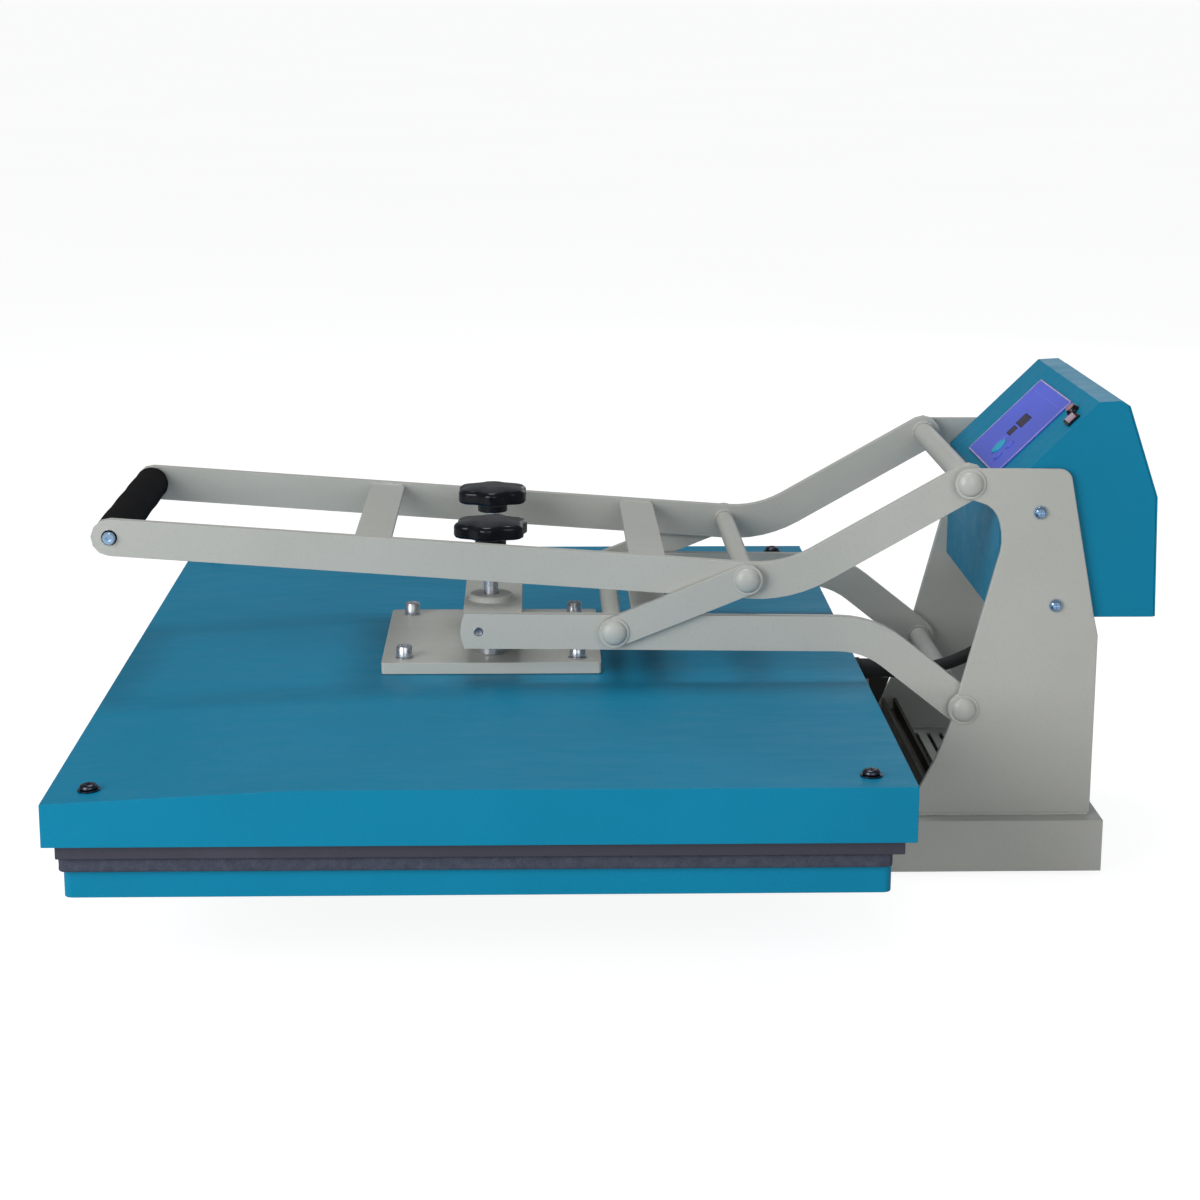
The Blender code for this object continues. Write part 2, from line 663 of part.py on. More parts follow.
def make_straps():
    """Flat bars that tie the two upper arms and the two lower arms together."""
    inner = ARM_INNER - GAP
    for name, y in UPPER_STRAPS:
        tilt = math.atan2(UPPER_PATH[1][1] - UPPER_PATH[0][1], UPPER_PATH[1][0] - UPPER_PATH[0][0])
        z = upper_centre(y) + ARM_HALF_HEIGHT - STRAP_DROP - STRAP_THICKNESS / 2
        strap = block(
            name, (-inner, -STRAP_WIDTH / 2, -STRAP_THICKNESS / 2), (inner, STRAP_WIDTH / 2, STRAP_THICKNESS / 2), CREAM,
        )
        strap.matrix_world = Matrix.Translation((0, y, z)) @ Matrix.Rotation(tilt, 4, "X")
    top = LOWER_PATH[0][1] + LOWER_HALF_HEIGHT - STRAP_DROP
    block(
        "lower_strap", (-inner, LOWER_STRAP_Y - STRAP_WIDTH / 2, top - STRAP_THICKNESS),
        (inner, LOWER_STRAP_Y + STRAP_WIDTH / 2, top), CREAM,
    )


def make_tubes():
    """Spacer tubes between the arms, round the pins."""
    inner = ARM_INNER - GAP
    bore = PIN_RADIUS + PIN_CLEARANCE
    for label, (y, z) in (("a", PIVOT_A), ("b", PIVOT_B), ("c", PIVOT_C), ("d", PIVOT_D)):
        radius = TUBE_RADIUS[label]
        wall = bore if label != "d" else 0.0050
        profile = [(radius, -inner), (radius, inner), (wall, inner), (wall, -inner)]
        turned(f"pivot_tube_{label}", profile, CREAM, across(y, z), sides=16, ring=True)


def dome_profile(face, steps=5):
    """Head of a pin: from the shaft out to the rim and over the dome to the axis."""
    points = [(DOME_RADIUS, face)]
    for step in range(steps):
        angle = math.radians(8 + 82 * step / steps)
        points.append((DOME_RADIUS * math.cos(angle), face + 0.0012 + (DOME_HEIGHT - 0.0012) * math.sin(angle)))
    return points + [(0, face + DOME_HEIGHT)]


def make_pins():
    """Through pins with a domed head at each end, and the stub pins at pivot D."""
    for label, (y, z), face in (("a", PIVOT_A, PLATE_OUTER), ("b", PIVOT_B, PLATE_OUTER), ("c", PIVOT_C, LINK_OUTER)):
        right = dome_profile(face + GAP)
        left = [(radius, -height) for radius, height in reversed(right)]
        shaft = [(PIN_RADIUS, -face - GAP), (PIN_RADIUS, face + GAP)]
        turned(f"pivot_pin_{label}", left + shaft + right, CREAM, across(y, z), sides=20)
    for label, flip in (("left", True), ("right", False)):
        profile = [(0, ARM_OUTER + GAP), (PIN_RADIUS, ARM_OUTER + GAP), (PIN_RADIUS, LINK_OUTER + GAP)]
        profile += dome_profile(LINK_OUTER + GAP)
        turned(f"pivot_pin_d_{label}", profile, CREAM, across(*PIVOT_D, flip=flip), sides=20)


def make_handle():
    y, z = UPPER_PATH[0]
    inner = ARM_INNER - GAP
    head = ARM_OUTER + GAP
    right = [
        (HANDLE_ROD_RADIUS, head), (HANDLE_HEAD_RADIUS, head), (HANDLE_HEAD_RADIUS, head + 0.0025),
        (HANDLE_HEAD_RADIUS * 0.7, head + HANDLE_HEAD_HEIGHT), (0, head + HANDLE_HEAD_HEIGHT),
    ]
    left = [(radius, -height) for radius, height in reversed(right)]
    turned("handle_rod", left + right, STEEL, across(y, z), sides=16)
    grip = [
        (GRIP_RADIUS - 0.002, -inner), (GRIP_RADIUS, -inner + 0.002), (GRIP_RADIUS, inner - 0.002),
        (GRIP_RADIUS - 0.002, inner), (GRIP_BORE, inner), (GRIP_BORE, -inner),
    ]
    turned("foam_grip", grip, FOAM, across(y, z), sides=24, ring=True)


# Control box ----------------------------------------------------------------


def slope_matrix(x, up, lift=0.0):
    """A place on the sloping face: local X across, local Y up the slope, local Z out."""
    low = Vector((0, BOX_FRONT, BOX_KNEE))
    along = (Vector((0, *BOX_BROW)) - low).normalized()
    out = Vector((1, 0, 0)).cross(along)
    place = low + along * up + out * lift + Vector((x, 0, 0))
    matrix = Matrix((Vector((1, 0, 0)), along, out)).transposed().to_4x4()
    return Matrix.Translation(place) @ matrix


def slope_block(name, x_span, up_span, lift_span, spec):
    """A box on the sloping face, in its own across, up and out directions."""
    low = (x_span[0], up_span[0], lift_span[0])
    high = (x_span[1], up_span[1], lift_span[1])
    made = block(name, low, high, spec)
    made.matrix_world = slope_matrix(0, 0)
    return made


def make_control_box():
    """A folded shell with its back closed by a separate bent cover."""
    wall = BOX_SHEET
    back = [Vector(p) for p in BOX_BACK]
    inward = Vector((-(wall + GAP), 0))
    open_back = [back[0], back[1] + inward, back[2] + inward, back[3] + inward]
    outline = [(BOX_FRONT, BOX_BOTTOM), (BOX_FRONT, BOX_KNEE), BOX_BROW] + [tuple(p) for p in open_back]
    shell = prism("control_box_shell", outline, -BOX_HALF_WIDTH, BOX_HALF_WIDTH, TEAL)
    inside = [(BOX_FRONT + wall, BOX_BOTTOM + wall), (BOX_FRONT + wall, BOX_KNEE - wall * 0.4)]
    inside += [(BOX_BROW[0] + wall * 0.4, BOX_BROW[1] - wall), (0.3960, 0.3915), (0.4400, 0.3860), (0.4400, BOX_BOTTOM + wall)]
    hollow = prism("control_box_hollow", inside, -BOX_HALF_WIDTH + wall, BOX_HALF_WIDTH - wall, TEAL)
    boolean(shell, hollow)
    low, high = -BOX_HALF_WIDTH - 0.005, BOX_HALF_WIDTH + 0.005
    drill(shell, BOX_SCREWS, BOX_SCREW_RADIUS + GAP, low, high, sides=12)
    drill_down(shell, [(CABLE_ROUTE[0][0], CABLE_ROUTE[0][1])], CABLE_RADIUS + 0.0008, 0.205, 0.22, sides=16)
    for name, x_span, up_span in (
        ("board_window", (PANEL_X[0] + 0.006, PANEL_X[1] - 0.006), (PANEL_UP[0] + 0.006, PANEL_UP[1] - 0.006)),
        ("switch_window", (SWITCH_AT[0] - 0.0088, SWITCH_AT[0] + 0.0088), (SWITCH_AT[1] - 0.0058, SWITCH_AT[1] + 0.0058)),
    ):
        boolean(shell, slope_block(name, x_span, up_span, (-0.005, 0.005), TEAL))
    fuse_hole = turned(
        "fuse_hole", [(0, -0.005), (0.0050, -0.005), (0.0050, 0.005), (0, 0.005)], TEAL, slope_matrix(*FUSE_AT), sides=16,
    )
    boolean(shell, fuse_hole)
    outer = [tuple(p) for p in back[1:]]
    inner = [tuple(p + Vector((-wall, 0))) for p in reversed(back[1:])]
    prism("control_box_back_cover", outer + inner, -BOX_HALF_WIDTH, BOX_HALF_WIDTH, TEAL)
    boolean(shell, block("inlet_window", (-0.0142, INLET_Y - 0.0112, 0.20), (0.0142, INLET_Y + 0.0112, 0.22), TEAL))


def make_panel():
    """Membrane panel, its two display windows and its keys."""
    panel = slope_block("control_panel", PANEL_X, PANEL_UP, (GAP, GAP + PANEL_THICKNESS), VIOLET)
    for index, (x0, x1, up0, up1) in enumerate(WINDOW_BLOCKS):
        boolean(panel, slope_block(f"panel_window_{index}", (x0, x1), (up0, up1), (-0.002, 0.004), VIOLET))
    front = GAP + PANEL_THICKNESS
    x0 = min(w[0] for w in WINDOW_BLOCKS) - DISPLAY_MARGIN
    x1 = max(w[1] for w in WINDOW_BLOCKS) + DISPLAY_MARGIN
    up0 = min(w[2] for w in WINDOW_BLOCKS) - DISPLAY_MARGIN
    up1 = max(w[3] for w in WINDOW_BLOCKS) + DISPLAY_MARGIN
    display = slope_block("display_window", (x0, x1), (up0, up1), (-0.006, 0), WINDOW)
    for index, (a, b, c, d) in enumerate(WINDOW_BLOCKS):
        boolean(display, slope_block(
            f"display_lens_{index}", (a + GAP, b - GAP), (c + GAP, d - GAP), (-0.001, front - 0.0002), WINDOW,
        ), "UNION")
    for name, (x, up, radius), spec in (
        ("set_button", SET_BUTTON, CYAN), ("up_button", UP_BUTTON, VIOLET), ("down_button", DOWN_BUTTON, VIOLET),
    ):
        hole = [(0, -0.004), (radius + GAP, -0.004), (radius + GAP, 0.006), (0, 0.006)]
        boolean(panel, turned(name + "_hole", hole, VIOLET, slope_matrix(x, up), sides=24))
        cap = [
            (0, -0.0040), (radius + 0.0010, -0.0040), (radius + 0.0010, -0.0010), (radius, -0.0010),
            (radius, front + BUTTON_PROUD - 0.0004), (radius - 0.0006, front + BUTTON_PROUD), (0, front + BUTTON_PROUD),
        ]
        turned(name, cap, spec, slope_matrix(x, up), sides=24)


def make_switch():
    """Rocker switch in its housing, and the cap of the fuse holder."""
    (x, up), (width, height) = SWITCH_AT, SWITCH_SIZE
    housing = slope_block(
        "power_switch_housing", (x - width / 2, x + width / 2), (up - height / 2, up + height / 2), (GAP, 0.0022), PLASTIC,
    )
    boolean(housing, slope_block(
        "housing_body", (x - 0.0084, x + 0.0084), (up - 0.0054, up + 0.0054), (-0.012, 0.001), PLASTIC,
    ), "UNION")
    boolean(housing, slope_block(
        "housing_well", (x - 0.0070, x + 0.0070), (up - 0.0046, up + 0.0046), (-0.0085, 0.01), PLASTIC,
    ))
    profile = [(-0.0056, 0.0036), (-0.0056, -0.0020), (0, -0.0060), (0.0056, -0.0020), (0.0056, 0.0020), (0, 0.0012)]
    made = bmesh.new()
    sides = [[made.verts.new((x_local, y_local, z_local)) for x_local, z_local in profile] for y_local in (-0.0042, 0.0042)]
    made.faces.new(sides[0])
    made.faces.new(list(reversed(sides[1])))
    for index in range(len(profile)):
        after = (index + 1) % len(profile)
        made.faces.new((sides[0][index], sides[1][index], sides[1][after], sides[0][after]))
    add_object("power_switch_rocker", made, RED, slope_matrix(x, up))
    cap = [
        (0, -0.016), (0.0046, -0.016), (0.0046, GAP), (FUSE_RADIUS, GAP), (FUSE_RADIUS, 0.0022),
        (FUSE_RADIUS - 0.0016, 0.0052), (0, 0.0052),
    ]
    turned("fuse_holder", cap, PLASTIC, slope_matrix(*FUSE_AT), sides=20)


def make_inlet():
    """Power inlet under the control box, with its recess and three blades."""
    face = BOX_BOTTOM - GAP
    body = block("power_inlet", (-0.0170, INLET_Y - 0.0140, face - 0.0025), (0.0170, INLET_Y + 0.0140, face), PLASTIC)
    boolean(body, block(
        "inlet_body", (-0.0136, INLET_Y - 0.0105, face - 0.001), (0.0136, INLET_Y + 0.0105, face + 0.022), PLASTIC,
    ), "UNION")
    boolean(body, block(
        "inlet_recess", (-0.0120, INLET_Y - 0.0090, face - 0.01), (0.0120, INLET_Y + 0.0090, face + 0.018), PLASTIC,
    ))
    for index, (x, y) in enumerate(((-0.0065, -0.003), (0.0065, -0.003), (0, 0.004))):
        boolean(body, block(
            f"inlet_blade_{index}", (x - 0.0010, INLET_Y + y - 0.003, face + 0.006),
            (x + 0.0010, INLET_Y + y + 0.003, face + 0.019), PLASTIC,
        ), "UNION")


def make_electronics():
    """Controller board behind the panel, with its transformer and its relay."""
    board = slope_block("controller_board", (-0.055, 0.050), (0.010, 0.090), (-0.0260, -0.0244), BOARD)
    for index, (x0, x1, u0, u1, deep) in enumerate(((-0.050, -0.020, 0.015, 0.045, -0.044), (0.010, 0.040, 0.055, 0.080, -0.040))):
        boolean(board, slope_block(f"board_part_{index}", (x0, x1), (u0, u1), (deep, -0.0250), BOARD), "UNION")


def make_box_screws():
    """Pan-head screws that hold the control box between the side plates."""
    for side, label in ((-1, "left"), (1, "right")):
        for (y, z), row in zip(BOX_SCREWS, ("upper", "lower")):
            face = PLATE_OUTER + GAP
            profile = [
                (0, 0.1180), (BOX_SCREW_RADIUS, 0.1180), (BOX_SCREW_RADIUS, face), (BOX_SCREW_HEAD, face),
                (BOX_SCREW_HEAD, face + 0.0010), (BOX_SCREW_HEAD * 0.75, face + 0.0030), (0, face + 0.0036),
            ]
            turned(f"box_screw_{row}_{label}", profile, STEEL, across(y, z, flip=side < 0), sides=12)


def spline_points(route, count):
    """Even steps in parameter along a smooth curve through the route's points."""
    points = [Vector(p) for p in route]
    ends = [2 * points[0] - points[1]] + points + [2 * points[-1] - points[-2]]
    spans = len(points) - 1
    sampled = []
    for index in range(count):
        place = spans * index / (count - 1)
        span = min(int(place), spans - 1)
        t = place - span
        p0, p1, p2, p3 = ends[span : span + 4]
        sampled.append(0.5 * (2 * p1 + (p2 - p0) * t + (2 * p0 - 5 * p1 + 4 * p2 - p3) * t**2
                              + (3 * p1 - p0 - 3 * p2 + p3) * t**3))
    return sampled


def make_cable():
    """Sleeved heater cable from the control box down to the platen's rear wall."""
    data = bpy.data.curves.new("heater_cable", "CURVE")
    data.dimensions = "3D"
    data.bevel_depth = CABLE_RADIUS
    data.bevel_resolution = 2
    data.use_fill_caps = True
    points = spline_points(CABLE_ROUTE, CABLE_POINTS)
    spline = data.splines.new("POLY")
    spline.points.add(len(points) - 1)
    for target, point in zip(spline.points, points):
        target.co = (*point, 1.0)
    data.materials.append(material(RUBBER))
    bpy.context.scene.collection.objects.link(bpy.data.objects.new("heater_cable", data))


def main():
    clear_scene()
    make_base_box()
    make_base_frame()
    make_feet()
    make_side_plates()
    make_table()
    make_platen()
    make_mounting_plate()
    make_cross_beam()
    make_pressure_screws()
    make_arms()
    make_straps()
    make_tubes()
    make_pins()
    make_handle()
    make_control_box()
    make_panel()
    make_switch()
    make_inlet()
    make_electronics()
    make_box_screws()
    make_cable()


main()
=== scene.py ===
"""The looks of a clamshell heat press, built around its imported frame.

Side view facts are (y, z) points, and every size is in metres."""

import json
import math

import bpy
from mathutils import Matrix, Vector, noise


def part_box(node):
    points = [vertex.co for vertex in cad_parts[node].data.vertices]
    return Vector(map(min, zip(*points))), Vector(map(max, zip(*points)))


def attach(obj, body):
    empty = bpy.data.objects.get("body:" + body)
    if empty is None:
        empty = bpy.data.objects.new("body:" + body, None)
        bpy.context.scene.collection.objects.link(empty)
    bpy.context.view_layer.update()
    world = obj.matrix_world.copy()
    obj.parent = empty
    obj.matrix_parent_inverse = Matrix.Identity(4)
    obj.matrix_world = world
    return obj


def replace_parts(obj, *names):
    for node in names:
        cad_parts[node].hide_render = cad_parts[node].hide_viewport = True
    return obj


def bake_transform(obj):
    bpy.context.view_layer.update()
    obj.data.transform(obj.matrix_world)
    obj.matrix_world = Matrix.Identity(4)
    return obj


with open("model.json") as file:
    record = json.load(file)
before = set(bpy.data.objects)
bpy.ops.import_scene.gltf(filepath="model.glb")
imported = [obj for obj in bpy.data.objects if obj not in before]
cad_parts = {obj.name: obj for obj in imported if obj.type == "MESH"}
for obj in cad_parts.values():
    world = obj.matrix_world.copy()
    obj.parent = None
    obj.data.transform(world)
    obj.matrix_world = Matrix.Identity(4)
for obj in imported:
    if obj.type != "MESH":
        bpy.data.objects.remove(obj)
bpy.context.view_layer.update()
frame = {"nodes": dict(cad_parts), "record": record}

NODES = frame["nodes"]
SLOT_OF = {part["node"]: part["material_slot"] for part in frame["record"]["subparts"]}

# Camera.
CAMERA_AT = Vector((2.12784, -0.07806, 0.70230))
CAMERA_YAW = -0.02782
CAMERA_PITCH = 0.23159
CAMERA_ROLL = 0.00293
CAMERA_LENS = 75.845
CAMERA_SENSOR = 36.0
FARTHEST_SEEN = 20000.0

# The floor and the surroundings: how bright the camera sees them, and what they add to the light.
FLOOR_SIZE = 4000.0
FLOOR_DROP = 0.0005
FLOOR_SEEN = 0.90
SKY_SEEN = 0.97
SKY_LIGHT = 0.24

# Soft square lights that face the machine's middle: name, place, side and power.
MIDDLE = Vector((0, 0, 0.15))
LIGHTS = (
    ("front", (3.0, 0.8, 1.1), 2.0, 21.0),
    ("key", (2.1, -1.9, 1.05), 1.8, 54.0),
    ("top", (-0.5, -0.2, 2.8), 1.1, 24.0),
    ("back", (-2.6, 1.4, 1.3), 1.8, 9.0),
)

# Places on the machine that more than one piece needs.
PIVOT_A = (0.2760, 0.3265)
PIVOT_B = (0.2770, 0.1380)
PIVOT_C = (0.0972, 0.2475)
PIVOT_D = (-0.0109, 0.2038)
ARM_INNER = 0.1170
ARM_OUTER = 0.1250
LINK_OUTER = 0.1316
PLATE_OUTER = 0.1325
BEAM_DOWEL = (-0.1216, 0.2036)
COVER_TOP = 0.1597
COVER_FRONT = -0.4270
COVER_FRONT_TOP = 0.1502
COVER_BEND = -0.2470
COVER_SCREW_X = 0.3845
COVER_SCREW_Y = {"front": -0.3960, "rear": 0.1670}
MOUNT_TOP = 0.1697
STRAP_THICK = 0.005
CABLE_X = 0.0450
SLOPE_LOW = Vector((0.0, 0.3020, 0.3160))
SLOPE_UP = Vector((0.0, 0.0770, 0.0760)).normalized()
SLOPE_OUT = Vector((0.0, -SLOPE_UP.z, SLOPE_UP.y))

# Places on the control box's sloping face, as (x, distance up it), and the heights of prints above it.
FUSE_AT = (0.0926, 0.0895)
MAIN_KEY_AT = (0.0115, 0.0275)
FILM_TOP = 0.0015
LENS_TOP = 0.00125
BORDER_INK = 0.00025
MARK_INK = 0.00012
DIGIT_INK = 0.00006

# Air between pieces that would otherwise share a face.
CLEARANCE = 0.0001


def place_camera():
    """Sets the camera at the viewing angle, rolled a little."""
    cos_pitch = math.cos(CAMERA_PITCH)
    ahead = Vector((
        -cos_pitch * math.cos(CAMERA_YAW), -cos_pitch * math.sin(CAMERA_YAW), -math.sin(CAMERA_PITCH)
    ))
    level = Vector((-math.sin(CAMERA_YAW), math.cos(CAMERA_YAW), 0.0))
    above = level.cross(ahead)
    cos_roll, sin_roll = math.cos(CAMERA_ROLL), math.sin(CAMERA_ROLL)
    right = cos_roll * level + sin_roll * above
    up = cos_roll * above - sin_roll * level
    data = bpy.data.cameras.new("camera")
    data.lens = CAMERA_LENS
    data.sensor_width = CAMERA_SENSOR
    data.clip_end = FARTHEST_SEEN
    camera = bpy.data.objects.new("camera", data)
    bpy.context.scene.collection.objects.link(camera)
    turn = Matrix((right, up, -ahead)).transposed().to_4x4()
    camera.matrix_world = Matrix.Translation(CAMERA_AT) @ turn
    bpy.context.scene.camera = camera


# Materials --------------------------------------------------------------------


class Graph:
    """A Principled material whose colour, roughness and bump come from nodes."""

    def __init__(self, name, metallic=0.0, coat=0.0, specular=0.5):
        self.material = bpy.data.materials.new(name)
        self.material.use_nodes = True
        self.tree = self.material.node_tree
        self.shader = self.tree.nodes["Principled BSDF"]
        self.shader.inputs["Metallic"].default_value = metallic
        self.shader.inputs["Coat Weight"].default_value = coat
        self.shader.inputs["Coat Roughness"].default_value = 0.12
        self.shader.inputs["Specular IOR Level"].default_value = specular
        self.place = self.add("ShaderNodeTexCoord").outputs["Object"]
        self.normal = None

    def add(self, kind, values=(), **settings):
        made = self.tree.nodes.new(kind)
        for key, value in settings.items():
            setattr(made, key, value)
        for key, value in dict(values).items():
            self.feed(made.inputs[key], value)
        return made

    def feed(self, socket, value):
        if isinstance(value, bpy.types.NodeSocket):
            self.tree.links.new(value, socket)
        else:
            socket.default_value = value

    def stretched(self, scale):
        return self.add("ShaderNodeMapping", {"Vector": self.place, "Scale": scale}).outputs["Vector"]

    def noise(self, scale, detail=2.0, rough=0.5, where=None, warp=0.0):
        return self.add("ShaderNodeTexNoise", {
            "Vector": where or self.place, "Scale": scale, "Detail": detail,
            "Roughness": rough, "Distortion": warp,
        }).outputs["Fac"]

    def cells(self, scale):
        return self.add("ShaderNodeTexVoronoi", {"Vector": self.place, "Scale": scale}).outputs["Distance"]

    def spread(self, source, low, high, to_low=0.0, to_high=1.0):
        return self.add("ShaderNodeMapRange", {
            "Value": source, "From Min": low, "From Max": high, "To Min": to_low, "To Max": to_high,
        }).outputs["Result"]

    def times(self, a, b):
        return self.add("ShaderNodeMath", {0: a, 1: b}, operation="MULTIPLY").outputs[0]

    def mix(self, factor, a, b):
        made = self.add("ShaderNodeMix", {0: factor}, data_type="RGBA")
        self.feed(made.inputs[6], a if isinstance(a, bpy.types.NodeSocket) else (*a, 1.0))
        self.feed(made.inputs[7], b if isinstance(b, bpy.types.NodeSocket) else (*b, 1.0))
        return made.outputs[2]

    def bump(self, height, distance, strength=1.0):
        values = {"Height": height, "Distance": distance, "Strength": strength}
        if self.normal:
            values["Normal"] = self.normal
        self.normal = self.add("ShaderNodeBump", values).outputs["Normal"]

    def finish(self, colour, roughness):
        self.feed(self.shader.inputs["Base Color"], colour)
        self.feed(self.shader.inputs["Roughness"], roughness)
        if self.normal:
            self.feed(self.shader.inputs["Normal"], self.normal)
        return self.material


def shade(colour, factor):
    return tuple(min(1.0, channel * factor) for channel in colour)


def powder_coat(name, colour, roughness, wave=0.0, specular=0.5, grime=0.10):
    """Stove-baked powder paint: orange peel, faint clouds, fine specks and a few scuffs."""
    look = Graph(name, specular=specular)
    cloud = look.noise(5.0, 3.0, 0.6)
    speck = look.noise(900.0, 1.0)
    scuff = look.noise(60.0, 6.0, 0.7, look.stretched((1.0, 0.25, 1.6)))
    tone = look.mix(look.spread(cloud, 0.3, 0.7), shade(colour, 0.95), shade(colour, 1.05))
    tone = look.mix(look.times(look.spread(speck, 0.60, 0.72), 0.35), tone, shade(colour, 0.72))
    tone = look.mix(look.times(look.spread(scuff, 0.60, 0.75), grime), tone, (0.30, 0.29, 0.27))
    if wave:
        look.bump(look.noise(7.0, 1.0), wave)
    look.bump(look.noise(520.0, 2.0), 0.00010)
    return look.finish(tone, look.spread(scuff, 0.35, 0.75, roughness - 0.05, roughness + 0.10))


def zinc(name, colour, roughness=0.28):
    """Zinc plate on turned steel, with a very fine grain and dull blooms."""
    look = Graph(name, metallic=1.0)
    bloom = look.noise(160.0, 4.0, 0.65)
    tone = look.mix(look.spread(bloom, 0.35, 0.65), shade(colour, 0.90), shade(colour, 1.08))
    look.bump(look.noise(1500.0, 2.0), 0.000008)
    return look.finish(tone, look.spread(bloom, 0.3, 0.7, roughness - 0.04, roughness + 0.07))


def moulded(name, colour, roughness, grain=0.00003, coat=0.0, specular=0.5):
    """Moulded plastic: a soft tone change and a fine spark-eroded grain."""
    look = Graph(name, coat=coat, specular=specular)
    cloud = look.noise(90.0, 3.0)
    tone = look.mix(look.spread(cloud, 0.3, 0.7), shade(colour, 0.85), shade(colour, 1.18))
    look.bump(look.noise(1900.0, 2.0), grain)
    return look.finish(tone, look.spread(cloud, 0.3, 0.7, roughness - 0.05, roughness + 0.08))


def sponge(name, dark, light, pore, depth, roughness=0.92):
    """Open or closed cell sponge: mottled, with pores of that many to the metre."""
    look = Graph(name, specular=0.10)
    patch = look.noise(pore * 0.16, 4.0, 0.7)
    pores = look.cells(pore)
    tone = look.mix(look.spread(patch, 0.32, 0.68), dark, light)
    tone = look.mix(look.times(look.spread(pores, 0.0, 0.45, 1.0, 0.0), 0.55), tone, shade(dark, 0.55))
    look.bump(pores, depth)
    look.bump(patch, depth * 1.5)
    return look.finish(tone, look.spread(patch, 0.3, 0.7, roughness - 0.08, min(1.0, roughness + 0.05)))


def anodised(name, colour):
    """Cast and anodised aluminium: fine lines along X and small dull stains."""
    look = Graph(name, metallic=0.35)
    lines = look.noise(40.0, 5.0, 0.7, look.stretched((0.6, 40.0, 40.0)))
    stain = look.noise(14.0, 5.0, 0.65)
    tone = look.mix(look.spread(lines, 0.3, 0.7), shade(colour, 0.8), shade(colour, 1.2))
    tone = look.mix(look.times(look.spread(stain, 0.55, 0.75), 0.4), tone, shade(colour, 1.8))
    look.bump(lines, 0.00006)
    return look.finish(tone, look.spread(stain, 0.3, 0.7, 0.42, 0.62))


def membrane(name, colour):
    """Printed polyester film over a fine pebble texture."""
    look = Graph(name, specular=0.6)
    cloud = look.noise(12.0, 2.0)
    dots = look.cells(1700.0)
    tone = look.mix(look.spread(cloud, 0.25, 0.75), shade(colour, 0.86), shade(colour, 1.16))
    tone = look.mix(look.times(look.spread(dots, 0.0, 0.5, 1.0, 0.0), 0.12), tone, (0.5, 0.5, 0.9))
    look.bump(dots, 0.00004)
    return look.finish(tone, look.spread(cloud, 0.3, 0.7, 0.34, 0.46))


def wool(name, colour):
    """Needled fibre blanket."""
    look = Graph(name, specular=0.1)
    strands = look.noise(120.0, 8.0, 0.8, look.stretched((1.0, 3.0, 2.0)), 1.2)
    tone = look.mix(look.spread(strands, 0.3, 0.7), shade(colour, 0.75), shade(colour, 1.1))
    look.bump(strands, 0.0012)
    return look.finish(tone, look.spread(strands, 0.3, 0.7, 0.9, 1.0))


CREAM = (0.470, 0.475, 0.440)
TEAL = (0.0005, 0.212, 0.368)
MATERIALS = {
    "cream_paint": powder_coat("cream_powder_coat", CREAM, 0.46, specular=0.32),
    "pin_paint": powder_coat("cream_pin_paint", shade(CREAM, 1.04), 0.34),
    "teal_paint": powder_coat("teal_powder_coat", TEAL, 0.42, wave=0.0003, specular=0.16, grime=0.004),
    "zinc_steel": zinc("zinc_plate", (0.60, 0.62, 0.66)),
    "blue_zinc": zinc("blue_passivated_zinc", (0.40, 0.58, 0.82), 0.20),
    "dark_screw": zinc("black_zinc", (0.055, 0.06, 0.08), 0.24),
    "dark_aluminium": anodised("anodised_aluminium", (0.050, 0.052, 0.075)),
    "black_foam": sponge(
        "black_foam", (0.0035, 0.0035, 0.0040), (0.0085, 0.0085, 0.0095), 1500.0, 0.00014, 0.95,
    ),
    "grey_silicone": sponge("silicone_sponge", (0.050, 0.057, 0.084), (0.078, 0.087, 0.120), 800.0, 0.00035),
    "black_rubber": moulded("black_rubber", (0.014, 0.014, 0.015), 0.72, 0.00008),
    "black_plastic": moulded("black_plastic", (0.0030, 0.0038, 0.0075), 0.20, 0.000004, specular=0.30),
    "violet_panel": membrane("violet_membrane", (0.085, 0.120, 0.66)),
    "cyan_button": membrane("cyan_key", (0.002, 0.400, 0.620)),
    "dark_window": moulded("tinted_window", (0.020, 0.013, 0.040), 0.30, 0.00001),
    # Painted shade: the stay's zinc is darkened to stand for the shade it lies in behind the table.
    "stay_steel": zinc("shade_darkened_stay", (0.16, 0.15, 0.16), 0.5),
    "panel_line": moulded("silver_print", (0.50, 0.42, 0.60), 0.35),
    "segment": moulded("unlit_segment", (0.040, 0.028, 0.070), 0.30),
    "violet_print": moulded("violet_print", (0.19, 0.21, 0.78), 0.40),
    # Painted shade: this near-black brown stands for the shade behind the table, where the rail and bracket
    # sit.
    "dark_steel": moulded("shadowed_rail_steel", (0.030, 0.026, 0.022), 0.55, 0.00005, specular=0.3),
    "grey_pin": zinc("dull_dowel", (0.20, 0.22, 0.25), 0.42),
    "green_board": moulded("solder_mask", (0.010, 0.085, 0.030), 0.35),
    "white_wool": wool("fibre_blanket", (0.72, 0.70, 0.64)),
    "dark_red_plastic": moulded("rocker_plastic", (0.40, 0.28, 0.34), 0.28, coat=0.3),
    "fuse_red": moulded("fuse_cap_plastic", (0.34, 0.17, 0.20), 0.28, coat=0.3),
}


# Shapes -----------------------------------------------------------------------


